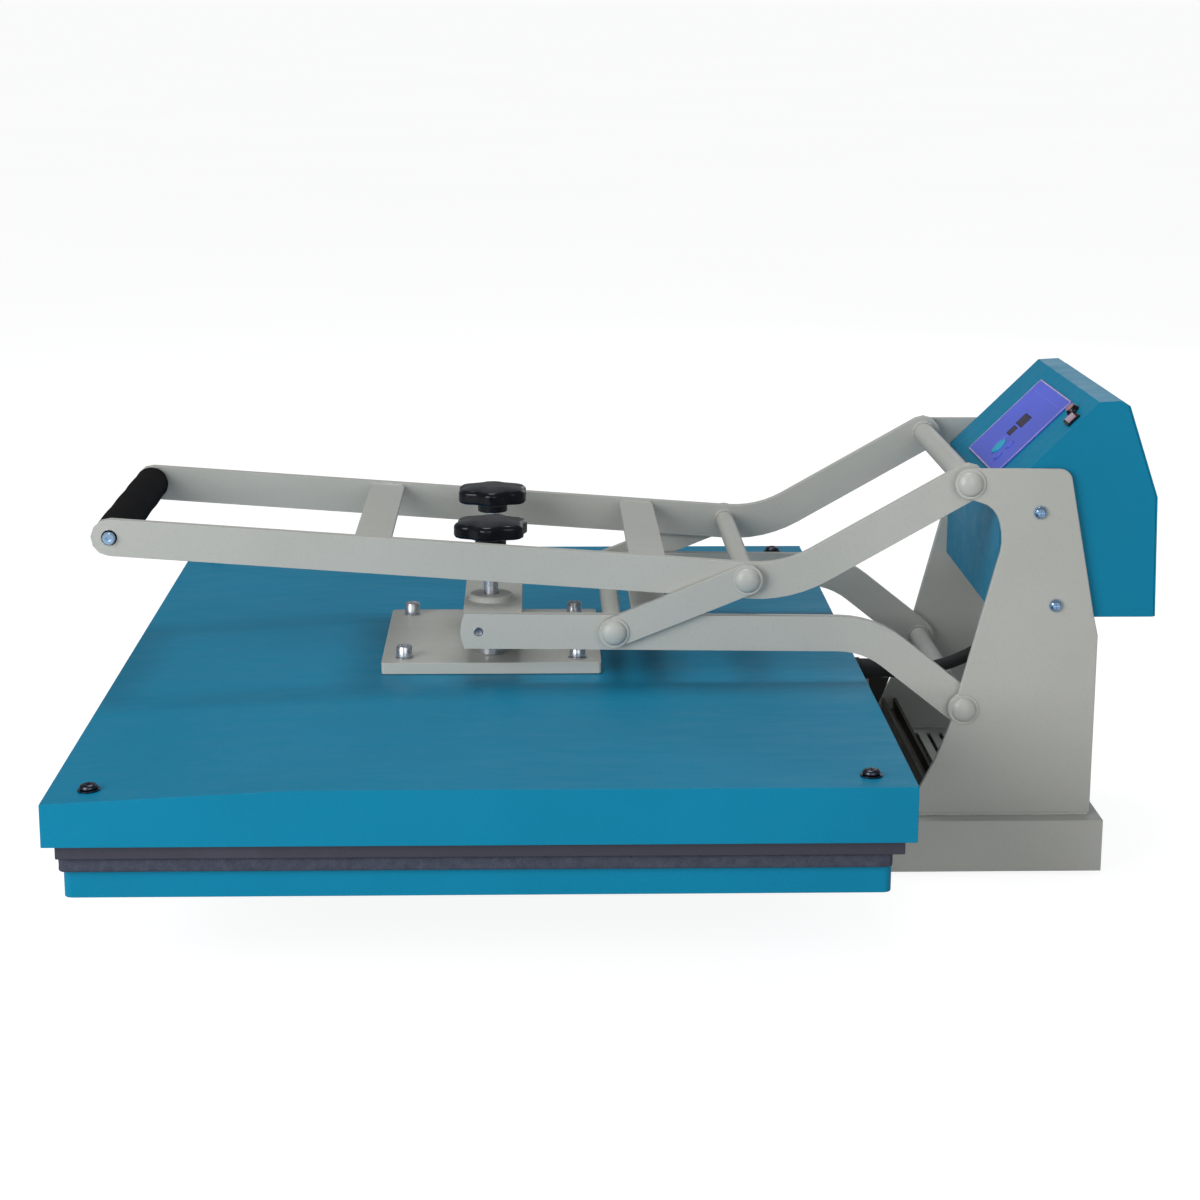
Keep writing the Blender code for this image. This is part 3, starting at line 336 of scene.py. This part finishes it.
class Shape:
    """Closed forms made of rings of points, gathered into one mesh."""

    def __init__(self):
        self.verts = []
        self.faces = []

    def rings(self, rings, loop=False, matrix=None):
        """Joins equal rings with quads, and caps both ends unless they loop."""
        start, count, total = len(self.verts), len(rings[0]), len(rings)
        for ring in rings:
            self.verts += [matrix @ Vector(p) if matrix else Vector(p) for p in ring]
        for index in range(total if loop else total - 1):
            here, after = start + index * count, start + (index + 1) % total * count
            for step in range(count):
                turn = (step + 1) % count
                self.faces.append((here + step, here + turn, after + turn, after + step))
        if not loop:
            last = start + (total - 1) * count
            self.faces.append(tuple(start + step for step in reversed(range(count))))
            self.faces.append(tuple(last + step for step in range(count)))
        return self

    def turned(self, profile, matrix=None, sides=32, radius=None):
        """Rings about local Z from (radius, height) points. radius(index, angle, size) reshapes a ring."""
        made = []
        for index, (size, height) in enumerate(profile):
            ring = []
            for step in range(sides):
                angle = 2 * math.pi * step / sides
                reach = radius(index, angle, size) if radius else size
                ring.append((reach * math.cos(angle), reach * math.sin(angle), height))
            made.append(ring)
        return self.rings(made, matrix=matrix)

    def tube(self, points, radius, sides=12, loop=False):
        """A tube along points. radius is a size, or a function of a point's number and an angle."""
        points = [Vector(p) for p in points]
        total = len(points)
        made, side = [], None
        for index, point in enumerate(points):
            before = points[index - 1] if index or loop else point
            after = points[(index + 1) % total] if index + 1 < total or loop else point
            ahead = (after - before).normalized()
            if side is None:
                side = ahead.orthogonal().normalized()
            side = (side - ahead * side.dot(ahead)).normalized()
            over = ahead.cross(side)
            ring = []
            for step in range(sides):
                angle = 2 * math.pi * step / sides
                reach = radius(index, angle) if callable(radius) else radius
                ring.append(point + reach * (math.cos(angle) * side + math.sin(angle) * over))
            made.append(ring)
        return self.rings(made, loop)

    def plate(self, outline, low, high, matrix=None):
        """An outline of (x, y) points, filled from one height to another."""
        return self.rings([[(x, y, z) for x, y in outline] for z in (low, high)], matrix=matrix)

    def make(self, name, slot, body, finish=None, sharp=40):
        mesh = bpy.data.meshes.new(name)
        mesh.from_pydata(self.verts, [], self.faces)
        mesh.validate()
        mesh.shade_smooth()
        mesh.set_sharp_from_angle(angle=math.radians(sharp))
        mesh.materials.append(MATERIALS[finish or slot])
        obj = bpy.data.objects.new(name, mesh)
        bpy.context.scene.collection.objects.link(obj)
        if body:
            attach(obj, body)
        return obj


def facing(axis, at):
    """A matrix whose local Z looks along axis."""
    return Matrix.Translation(at) @ Vector(axis).to_track_quat("Z", "Y").to_matrix().to_4x4()


def hexagon(across):
    """The reach of a hex socket at an angle, from its width across flats."""
    half = across / 2
    return lambda angle: half / math.cos((angle + math.pi / 6) % (math.pi / 3) - math.pi / 6)


def cross(length, width):
    """The reach of a cross recess at an angle, from half its length and half its width."""
    def reach(angle):
        folded = abs((angle + math.pi / 4) % (math.pi / 2) - math.pi / 4)
        if math.tan(folded) <= width / length:
            return length / math.cos(folded)
        return width / math.sin(folded)
    return reach


def head(shape, profile, drive, depth, matrix, knurled=()):
    """A screw from the tip of its shank to its head, with a drive recess cut down into the top."""
    top = profile[-1][1]
    rows = [*profile, (0, top), (0, top - depth)]
    rim = len(profile)
    sides, taper, knurls, knurl_depth = 48, 0.82, 24, 0.018

    def radius(index, angle, size):
        if index == rim:
            return drive(angle)
        if index > rim:
            return drive(angle) * taper
        if index in knurled:
            return size * (1 - knurl_depth * (0.5 + 0.5 * math.cos(angle * knurls)))
        return size

    return shape.turned(rows, matrix, sides, radius)


def washer(shape, inner, outer, thickness, matrix, sides=32):
    """A flat ring about local Z with its outer edges broken."""
    edge = thickness * 0.2
    loop = (
        (inner, 0), (outer - edge, 0), (outer, edge), (outer, thickness - edge),
        (outer - edge, thickness), (inner, thickness),
    )
    turns = [2 * math.pi * step / sides for step in range(sides)]
    rings = [
        [(radius * math.cos(turn), radius * math.sin(turn), height) for turn in turns]
        for radius, height in loop
    ]
    return shape.rings(rings, loop=True, matrix=matrix)


def ripple(base, seed):
    """The uneven radius of a weld bead."""
    def radius(index, angle):
        swell = 0.16 * math.sin(index * 1.9 + seed) + 0.10 * noise.noise(Vector((index * 0.7, angle, seed)))
        return base * (1 + swell)
    return radius


def bead_ring(shape, at, radius, thick, seed):
    """A weld bead round a tube that lies along X."""
    steps = 44
    turns = [2 * math.pi * step / steps for step in range(steps)]
    points = [(at[0], at[1] + radius * math.cos(turn), at[2] + radius * math.sin(turn)) for turn in turns]
    shape.tube(points, ripple(thick, seed), 8, loop=True)


def bead_line(shape, start, stop, thick, seed):
    """A straight weld bead."""
    start, stop = Vector(start), Vector(stop)
    ripple_length = 0.0022
    steps = max(4, round((stop - start).length / ripple_length))
    shape.tube([start.lerp(stop, step / steps) for step in range(steps + 1)], ripple(thick, seed), 8)


def rectangle(x0, x1, y0, y1):
    """The corners of a rectangle, in order round it."""
    return [(x0, y0), (x1, y0), (x1, y1), (x0, y1)]


def smooth_path(points, steps):
    """A Catmull-Rom curve through the points, with that many steps to each stretch."""
    points = [points[0] * 2 - points[1], *points, points[-1] * 2 - points[-2]]
    path = []
    for before, start, end, after in zip(points, points[1:], points[2:], points[3:]):
        for step in range(steps):
            t = step / steps
            path.append(0.5 * (
                2 * start + (end - before) * t + (2 * before - 5 * start + 4 * end - after) * t * t
                + (3 * start - before - 3 * end + after) * t ** 3
            ))
    path.append(points[-2])
    return path


def on_slope(x, up, out=0.0):
    return Vector((x, 0, 0)) + SLOPE_LOW + SLOPE_UP * up + SLOPE_OUT * out


def slope_matrix(x=0.0, up=0.0, out=0.0):
    """Local X across, local Y up the sloping face, and local Z out of it."""
    turn = Matrix((Vector((1, 0, 0)), SLOPE_UP, SLOPE_OUT)).transposed().to_4x4()
    return Matrix.Translation(on_slope(x, up, out)) @ turn


# CAD nodes --------------------------------------------------------------------

# How far the edges of a node are rounded, by the start of its name.
BEVELS = {
    "side_plate": 0.0010, "upper_arm": 0.0010, "lower_arm": 0.0010, "link": 0.0009, "mounting_plate": 0.0012,
    "upper_strap": 0.0010, "lower_strap": 0.0010, "cross_beam": 0.0012, "platen_cover": 0.0007,
    "control_box": 0.0007, "base_frame": 0.0016, "lower_table": 0.0014,
    "heat_platen": 0.0008, "pressure_knob": 0.0010, "power_": 0.0004, "fuse_holder": 0.0004,
    "control_panel": 0.0003, "display_window": 0.0002, "set_button": 0.0003, "up_button": 0.0003,
    "down_button": 0.0003, "foot_": 0.0006, "pivot_tube": 0.0004,
}
OTHER_BEVEL = 0.0003
WIDE_BEVEL = 0.0008
WELD_REACH = 0.000002
FLAT_WITHIN = math.radians(0.6)
EDGE_FROM = math.radians(32)


def dress_nodes():
    """Gives each CAD node its material, and rounds the edges of plates and mouldings."""
    for name, obj in NODES.items():
        mesh = obj.data
        mesh.materials.clear()
        mesh.materials.append(MATERIALS[SLOT_OF[name]])
        if "custom_normal" in mesh.attributes:
            mesh.attributes.remove(mesh.attributes["custom_normal"])
        if name == "base_box":
            # The louvres leave no face of it whole, so it stays as it is, with sharp folds.
            mesh.shade_flat()
            continue
        mesh.shade_smooth()
        weld = obj.modifiers.new("weld", "WELD")
        weld.merge_threshold = WELD_REACH
        flat = obj.modifiers.new("flat", "DECIMATE")
        flat.decimate_type = "DISSOLVE"
        flat.angle_limit = FLAT_WITHIN
        width = next((size for start, size in BEVELS.items() if name.startswith(start)), OTHER_BEVEL)
        edge = obj.modifiers.new("edge", "BEVEL")
        edge.width = width
        edge.segments = 3 if width > WIDE_BEVEL else 2
        edge.limit_method = "ANGLE"
        edge.angle_limit = EDGE_FROM
        edge.miter_outer = "MITER_ARC"
        normals = obj.modifiers.new("normals", "WEIGHTED_NORMAL")
        normals.keep_sharp = True


# Details ----------------------------------------------------------------------


def make_plate_screws():
    """Socket head cap screws with washers on the mounting plate."""
    washer_height = 0.0012
    washer_foot = MOUNT_TOP + CLEARANCE
    seat = washer_foot + washer_height + CLEARANCE
    for name in [n for n in NODES if n.startswith("plate_screw")]:
        low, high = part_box(name)
        at = Vector(((low.x + high.x) / 2, (low.y + high.y) / 2, 0))
        profile = [
            (0.0030, low.z), (0.0040, low.z + 0.001), (0.0040, seat), (0.0062, seat), (0.0066, seat + 0.0004),
            (0.0066, seat + 0.0084), (0.0059, seat + 0.0092),
        ]
        cap = head(Shape(), profile, hexagon(0.0070), 0.0055, Matrix.Translation(at), knurled=(4, 5))
        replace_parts(cap.make(name + "_cap", "zinc_steel", "platen"), name)
        foot = Matrix.Translation(at + Vector((0, 0, washer_foot)))
        ring = washer(Shape(), 0.0044, 0.0078, washer_height, foot)
        ring.make(name + "_washer", "zinc_steel", "platen")


def make_cover_screws():
    """Black pan head screws and washers at the corners of the cover, whose front part slopes down."""
    slope = math.atan((COVER_TOP - COVER_FRONT_TOP) / (COVER_BEND - COVER_FRONT))
    profile = [
        (0.0028, -0.004), (0.0028, 0.0015), (0.0060, 0.0016), (0.0066, 0.0022), (0.0066, 0.0032),
        (0.0058, 0.0046), (0.0040, 0.0053),
    ]
    for side, x in (("left", -COVER_SCREW_X), ("right", COVER_SCREW_X)):
        for end, y in COVER_SCREW_Y.items():
            lean = slope if end == "front" else 0.0
            z = COVER_TOP - (COVER_BEND - y) * math.tan(lean)
            at = Matrix.Translation((x, y, z)) @ Matrix.Rotation(lean, 4, "X")
            shape = washer(Shape(), 0.0030, 0.0082, 0.0013, at @ Matrix.Translation((0, 0, 2 * CLEARANCE)))
            head(shape, profile, cross(0.0030, 0.0007), 0.0024, at)
            shape.make(f"cover_screw_{end}_{side}", "zinc_steel", "platen", "dark_screw")


def make_box_screws():
    """Pan head screws that hold the control box between the side plates."""
    for name in [n for n in NODES if n.startswith("box_screw")]:
        low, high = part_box(name)
        sign = 1 if low.x + high.x > 0 else -1
        at = facing((sign, 0, 0), (0, (low.y + high.y) / 2, (low.z + high.z) / 2))
        inner, outer = sorted((abs(low.x), abs(high.x)))
        face = PLATE_OUTER + 3 * CLEARANCE
        profile = [
            (0.0020, inner), (0.0025, inner + 0.001), (0.0025, face), (0.0052, face), (0.0055, face + 0.0006),
            (0.0053, face + 0.0016), (0.0040, face + 0.0027), (0.0030, outer),
        ]
        shape = head(Shape(), profile, cross(0.0026, 0.0006), 0.0016, at)
        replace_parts(shape.make(name + "_head", "zinc_steel", "root", "blue_zinc"), name)


def make_handle():
    """The rod through the foam grip, its two button heads, and the grip itself."""
    low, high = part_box("handle_rod")
    y, z = (low.y + high.y) / 2, (low.z + high.z) / 2
    shape = Shape()
    for sign in (-1, 1):
        at = facing((sign, 0, 0), (0, y, z))
        face = ARM_OUTER + 2 * CLEARANCE
        profile = [
            (0.0048, 0.0), (0.0048, face), (0.0052, face), (0.0054, face + 0.0006), (0.0053, face + 0.0026),
            (0.0044, high.x),
        ]
        head(shape, profile, hexagon(0.0040), 0.0022, at)
    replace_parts(shape.make("handle_bolts", "zinc_steel", "upper_arms", "blue_zinc"), "handle_rod")
    low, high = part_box("foam_grip")
    radius = (high.z - low.z) / 2
    length = high.x - low.x
    end = [(0.0066, 0.0006), (radius - 0.0045, 0.0), (radius - 0.0020, 0.0006), (radius - 0.0006, 0.0022)]
    end_length, steps = 0.0045, 46
    profile = list(end)
    for step in range(steps + 1):
        t = step / steps
        along = end_length + t * (length - 2 * end_length)
        profile.append((radius - 0.0004 * (0.5 + 0.5 * math.sin(t * 21)), along))
    profile += [(size, length - height) for size, height in reversed(end)]

    def soften(index, angle, size):
        lump = noise.noise(Vector((index * 0.35, math.cos(angle) * 1.4, math.sin(angle) * 1.4)))
        return size - 0.0003 * (0.5 + 0.5 * lump)

    grip = Shape().turned(profile, facing((1, 0, 0), (low.x, y, z)), 40, soften)
    grip = grip.make("grip_foam", "black_foam", "upper_arms")
    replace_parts(grip, "foam_grip")


def slab_outline(low, high, corner, step=0.006):
    """Points round a rectangle with rounded corners, close together along its sides."""
    points = []
    centres = (
        (high.x - corner, high.y - corner, 0), (low.x + corner, high.y - corner, 90),
        (low.x + corner, low.y + corner, 180), (high.x - corner, low.y + corner, 270),
    )
    for index, (x, y, start) in enumerate(centres):
        for turn in range(5):
            angle = math.radians(start + turn * 22.5)
            points.append(Vector((x + corner * math.cos(angle), y + corner * math.sin(angle))))
        after = centres[(index + 1) % 4]
        angle = math.radians(start + 90)
        target = Vector((after[0] + corner * math.cos(angle), after[1] + corner * math.sin(angle)))
        count = max(1, round((target - points[-1]).length / step))
        begin = points[-1]
        points += [begin.lerp(target, s / count) for s in range(1, count)]
    return points


def pulled_in(distance, half, pull):
    """How far a point on an edge moves towards the middle, which is distance away. Others stay."""
    return math.copysign(min(abs(distance), pull), distance) if abs(distance) > half * 0.9 else 0


def soft_slab(name, node, slot, body, corner, sag):
    """A soft sheet of real thickness whose cut edge is a little uneven."""
    low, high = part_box(node)
    outline = slab_outline(low, high, corner)
    middle = (low + high) / 2
    height = high.z - low.z
    # Up the cut edge: millimetres in from the outline, and the share of the height.
    levels = [
        (3.2, 0.0), (1.2, 0.0), (0.45, 0.05), (0.15, 0.18), (0.25, 0.40), (0.25, 0.62), (0.10, 0.82),
        (0.45, 0.95), (1.2, 1.0), (3.2, 1.0),
    ]
    rings = []
    for level, (inset, share) in enumerate(levels):
        ring = []
        for p in outline:
            rough = 0.5 + 0.5 * noise.noise(Vector((p.x * 60, p.y * 60, level * 0.8)))
            pull = 0.001 * inset + sag * rough * (0 < share < 1)
            x = p.x + pulled_in(middle.x - p.x, middle.x - low.x, pull)
            y = p.y + pulled_in(middle.y - p.y, middle.y - low.y, pull)
            ring.append((x, y, low.z + height * share))
        rings.append(ring)
    obj = Shape().rings(rings).make(name, slot, body, sharp=60)
    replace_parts(obj, node)


def make_welds():
    """Weld beads where tubes and straps meet the arms, and where the side plates meet the base."""
    seed = 1.0
    upper, lower, base = Shape(), Shape(), Shape()
    rows = (
        (upper, PIVOT_A, 0.0092), (upper, PIVOT_C, 0.0080),
        (lower, PIVOT_B, 0.0085), (lower, PIVOT_D, 0.0080),
    )
    for shape, (y, z), radius in rows:
        for sign in (-1, 1):
            seed += 1.3
            bead_ring(shape, (sign * (ARM_INNER - 0.0010), y, z), radius + 0.0006, 0.0014, seed)
    for shape, name in ((upper, "upper_strap_front"), (upper, "upper_strap_rear"), (lower, "lower_strap")):
        low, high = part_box(name)
        for sign in (-1, 1):
            seed += 1.3
            x = sign * (ARM_INNER - 0.0008)
            # The upper straps slope down to the rear, and the lower one lies level.
            down = 0.0 if name == "lower_strap" else high.z - low.z - STRAP_THICK
            bead_line(shape, (x, low.y + 0.002, high.z), (x, high.y - 0.002, high.z - down), 0.0013, seed)
            bead_line(shape, (x, low.y + 0.002, low.z + down), (x, high.y - 0.002, low.z), 0.0013, seed + 0.5)
    for name in ("side_plate_left", "side_plate_right"):
        low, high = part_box(name)
        z = low.z + 0.0008
        for x in sorted((low.x, high.x), key=abs):
            seed += 1.3
            bead_line(base, (x, low.y + 0.004, z), (x, high.y - 0.002, z), 0.0015, seed)
    upper.make("upper_arm_welds", "cream_paint", "upper_arms")
    lower.make("lower_arm_welds", "cream_paint", "lower_arms")
    base.make("base_welds", "cream_paint", "root")


def ring_outline(x0, x1, y0, y1, width, corner):
    """Outer and inner outlines of a thin printed frame."""
    step = 0.02
    outer = slab_outline(Vector((x0, y0, 0)), Vector((x1, y1, 0)), corner, step)
    low, high = Vector((x0 + width, y0 + width, 0)), Vector((x1 - width, y1 - width, 0))
    return outer, slab_outline(low, high, max(0.0002, corner - width), step)


def segments(shape, x0, x1, up0, up1, count, matrix):
    """Unlit seven-segment digits in a window."""
    pitch = (x1 - x0) / count
    tall, wide, bar = (up1 - up0) * 0.66, pitch * 0.56, (up1 - up0) * 0.085
    middle = (up0 + up1) / 2
    inner, outer = bar * 0.7, tall / 2 - bar
    for digit in range(count):
        left = x0 + pitch * (digit + 0.22)
        right = left + wide
        for row in (-1, 0, 1):
            y = middle + row * (tall - bar) / 2
            level = rectangle(left + bar, right - bar, y - bar / 2, y + bar / 2)
            shape.plate(level, 0, DIGIT_INK, matrix)
        for x in (left, right - bar):
            for low, high in ((middle - outer, middle - inner), (middle + inner, middle + outer)):
                shape.plate(rectangle(x, x + bar, low, high), 0, DIGIT_INK, matrix)


def arc_band(shape, x, up, radius, width, start, stop, low, high, matrix):
    """A printed arc of even width."""
    steps = 18
    hole = radius - width
    turns = [math.radians(start + (stop - start) * step / steps) for step in range(steps + 1)]
    outer = [(x + radius * math.cos(turn), up + radius * math.sin(turn)) for turn in turns]
    inner = [(x + hole * math.cos(turn), up + hole * math.sin(turn)) for turn in reversed(turns)]
    shape.plate(outer + inner, low, high, matrix)


def make_panel_print():
    """The panel's silver border, the arcs printed round its main key, and its display digits."""
    low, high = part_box("control_panel")
    at = slope_matrix()
    outer, inner = ring_outline(low.x + 0.0003, high.x - 0.0003, 0.0083, 0.0947, 0.0011, 0.0025)
    top = FILM_TOP + BORDER_INK
    loop = ((outer, FILM_TOP), (outer, top), (inner, top), (inner, FILM_TOP))
    rings = [[(p.x, p.y, z) for p in edge] for edge, z in loop]
    border = Shape().rings(rings, loop=True, matrix=at)
    border.make("panel_border", "violet_panel", "root", "panel_line")
    marks = Shape()
    mark_top = FILM_TOP + MARK_INK
    arcs = ((0.0125, -95, -15), (0.0150, -85, -25), (0.0125, 110, 190), (0.0150, 120, 180))
    for radius, start, stop in arcs:
        arc_band(marks, *MAIN_KEY_AT, radius, 0.0006, start, stop, FILM_TOP, mark_top, at)
    marks.plate(rectangle(-0.044, 0.054, 0.0835, 0.0839), FILM_TOP, mark_top, at)
    marks.make("panel_marks", "violet_panel", "root", "violet_print")
    digits = Shape()
    lens = slope_matrix(out=LENS_TOP)
    segments(digits, -0.0080, 0.0170, 0.0520, 0.0635, 3, lens)
    segments(digits, -0.0055, 0.0095, 0.0405, 0.0490, 3, lens)
    digits.make("display_digits", "dark_window", "root", "segment")


def make_fuse_cap():
    """The coloured cap on the fuse holder."""
    profile = [(0.0042, 0.0050), (0.0042, 0.0058), (0.0036, 0.0064), (0.0010, 0.0066)]
    cap = Shape().turned(profile, slope_matrix(*FUSE_AT), 28)
    cap.make("fuse_cap", "dark_red_plastic", "root", "fuse_red")


def make_rear_rail():
    """A dark channel and a bracket on the base behind the table, with a stay that slopes down along them;
    their dark colours are painted shade.
    """
    rail = Shape()
    channel = (
        (0.2465, 0.0620), (0.2600, 0.0620), (0.2600, 0.0760), (0.2572, 0.0760),
        (0.2572, 0.0655), (0.2493, 0.0655), (0.2493, 0.0760), (0.2465, 0.0760),
    )
    bracket = ((0.2160, 0.1006), (0.2505, 0.1004), (0.2455, 0.0862), (0.2370, 0.0671), (0.2170, 0.0671))
    for outline, ends in ((channel, (-0.1270, 0.1270)), (bracket, (-0.1125, -0.1095))):
        rail.rings([[(x, y, z) for y, z in outline] for x in ends])
    rail.make("rear_rail", "zinc_steel", "root", "dark_steel")
    stay = Shape()
    stations = ((0.0, -0.0980), (0.5, 0.0), (1.0, 0.1180))
    for side in (-0.0030, 0.0030):
        points = [(x, 0.2240 + side - 0.012 * t, 0.1080 - 0.0460 * t) for t, x in stations]
        stay.tube(points, 0.0018, 10)
    stay.make("rear_stay", "zinc_steel", "root", "stay_steel")


def make_dowels():
    """Ends of the dowels that hold the cross beam between the lower arms."""
    shape = Shape()
    profile = [(0.0037, 0.0), (0.0037, 0.0003), (0.0032, 0.0006), (0.0022, 0.0002), (0.0006, 0.0001)]
    for sign in (-1, 1):
        at = facing((sign, 0, 0), (sign * (ARM_OUTER + CLEARANCE), *BEAM_DOWEL))
        shape.turned(profile, at, 28)
    shape.make("beam_dowels", "zinc_steel", "lower_arms", "grey_pin")


def make_rims():
    """Flat collars round the pin heads."""
    rows = (
        ("a", "root", PLATE_OUTER, PIVOT_A), ("b", "root", PLATE_OUTER, PIVOT_B),
        ("c", "upper_arms", LINK_OUTER, PIVOT_C), ("d", "links", LINK_OUTER, PIVOT_D),
    )
    for name, body, face, (y, z) in rows:
        shape = Shape()
        for sign in (-1, 1):
            at = facing((sign, 0, 0), (sign * (face + CLEARANCE / 2), y, z))
            washer(shape, 0.0100, 0.0124, 0.0012, at, 48)
        shape.make("pin_rim_" + name, "pin_paint", body)


def make_cable():
    """The heater cable, from the gland under the control box into the platen's cover."""
    route = [Vector((CABLE_X, y, z)) for y, z in (
        (0.3600, 0.2137), (0.3594, 0.2010), (0.3440, 0.1880), (0.3160, 0.1740),
        (0.2815, 0.1560), (0.2440, 0.1475), (0.2200, 0.1488), (0.1996, 0.1500),
    )]
    path = smooth_path(route, 6)
    cable = Shape().tube(path, 0.0055, 16).make("heater_lead", "black_rubber", None)
    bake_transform(cable)
    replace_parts(cable, "heater_cable")


def make_cable_ends():
    """The gland under the control box, and the sleeve in the rear of the cover."""
    profile = [
        (0.0115, 0.0), (0.0115, 0.0045), (0.0098, 0.0055), (0.0095, 0.0090), (0.0080, 0.0130),
        (0.0068, 0.0170), (0.0061, 0.0200),
    ]
    gland = Shape().turned(profile, facing((0, -0.05, -1), (CABLE_X, 0.3600, 0.2141)), 24)
    gland.make("cable_gland", "black_plastic", "root")
    profile = [
        (0.0098, 0.0), (0.0098, 0.0030), (0.0088, 0.0040), (0.0086, 0.0160), (0.0074, 0.0240),
        (0.0062, 0.0300),
    ]
    sleeve = Shape().turned(profile, facing((0, 1, 0), (CABLE_X, 0.1982, 0.1500)), 28)
    sleeve.make("cable_grommet", "black_rubber", "platen")


# Stage ------------------------------------------------------------------------


def split_for_camera(tree, others, seen, output):
    """Gives the camera the seen shader, and every other ray the other one."""
    is_camera = tree.nodes.new("ShaderNodeLightPath").outputs["Is Camera Ray"]
    both = tree.nodes.new("ShaderNodeMixShader")
    tree.links.new(is_camera, both.inputs[0])
    tree.links.new(others, both.inputs[1])
    tree.links.new(seen, both.inputs[2])
    tree.links.new(both.outputs[0], tree.nodes[output].inputs["Surface"])


def make_floor():
    """A plain pale floor: nearly white to the camera, and a duller matte to the light that bounces."""
    bpy.ops.mesh.primitive_plane_add(size=FLOOR_SIZE, location=(0, 0, -FLOOR_DROP))
    floor = bpy.context.object
    floor.name = "floor"
    look = Graph("pale_floor", specular=0.0)
    look.shader.inputs["Emission Color"].default_value = (1.0, 1.0, 1.0, 1.0)
    look.shader.inputs["Emission Strength"].default_value = FLOOR_SEEN
    tone = look.mix(look.spread(look.noise(0.7, 2.0), 0.3, 0.7), (0.24, 0.24, 0.24), (0.28, 0.28, 0.28))
    floor.data.materials.append(look.finish(tone, 0.9))
    matte = look.add("ShaderNodeBsdfDiffuse", {"Color": (0.62, 0.61, 0.60, 1.0)})
    split_for_camera(look.tree, matte.outputs[0], look.shader.outputs[0], "Material Output")


def make_surroundings():
    """A white background that adds a little cool light from all round."""
    world = bpy.data.worlds.new("studio")
    world.use_nodes = True
    glow = world.node_tree.nodes["Background"]
    glow.inputs["Color"].default_value = (0.93, 0.96, 1.0, 1.0)
    glow.inputs["Strength"].default_value = SKY_LIGHT
    bright = world.node_tree.nodes.new("ShaderNodeBackground")
    bright.inputs["Color"].default_value = (1.0, 1.0, 1.0, 1.0)
    bright.inputs["Strength"].default_value = SKY_SEEN
    split_for_camera(world.node_tree, glow.outputs[0], bright.outputs[0], "World Output")
    bpy.context.scene.world = world


def make_lights():
    """Soft studio light, strongest from the camera's side and the front."""
    for name, place, size, power in LIGHTS:
        light = bpy.data.lights.new(name, "AREA")
        light.shape = "SQUARE"
        light.size = size
        light.energy = power
        obj = bpy.data.objects.new(name, light)
        bpy.context.scene.collection.objects.link(obj)
        obj.matrix_world = facing(Vector(place) - MIDDLE, place)


place_camera()
dress_nodes()
make_cable()
make_cable_ends()
make_plate_screws()
make_cover_screws()
make_box_screws()
make_handle()
soft_slab("pad_sponge", "silicone_pad", "grey_silicone", "root", 0.004, 0.0004)
soft_slab("platen_blanket", "insulation_blanket", "white_wool", "platen", 0.010, 0.0010)
make_welds()
make_panel_print()
make_fuse_cap()
make_rear_rail()
make_dowels()
make_rims()
make_floor()
make_surroundings()
make_lights()
bpy.context.scene.view_settings.view_transform = "Standard"
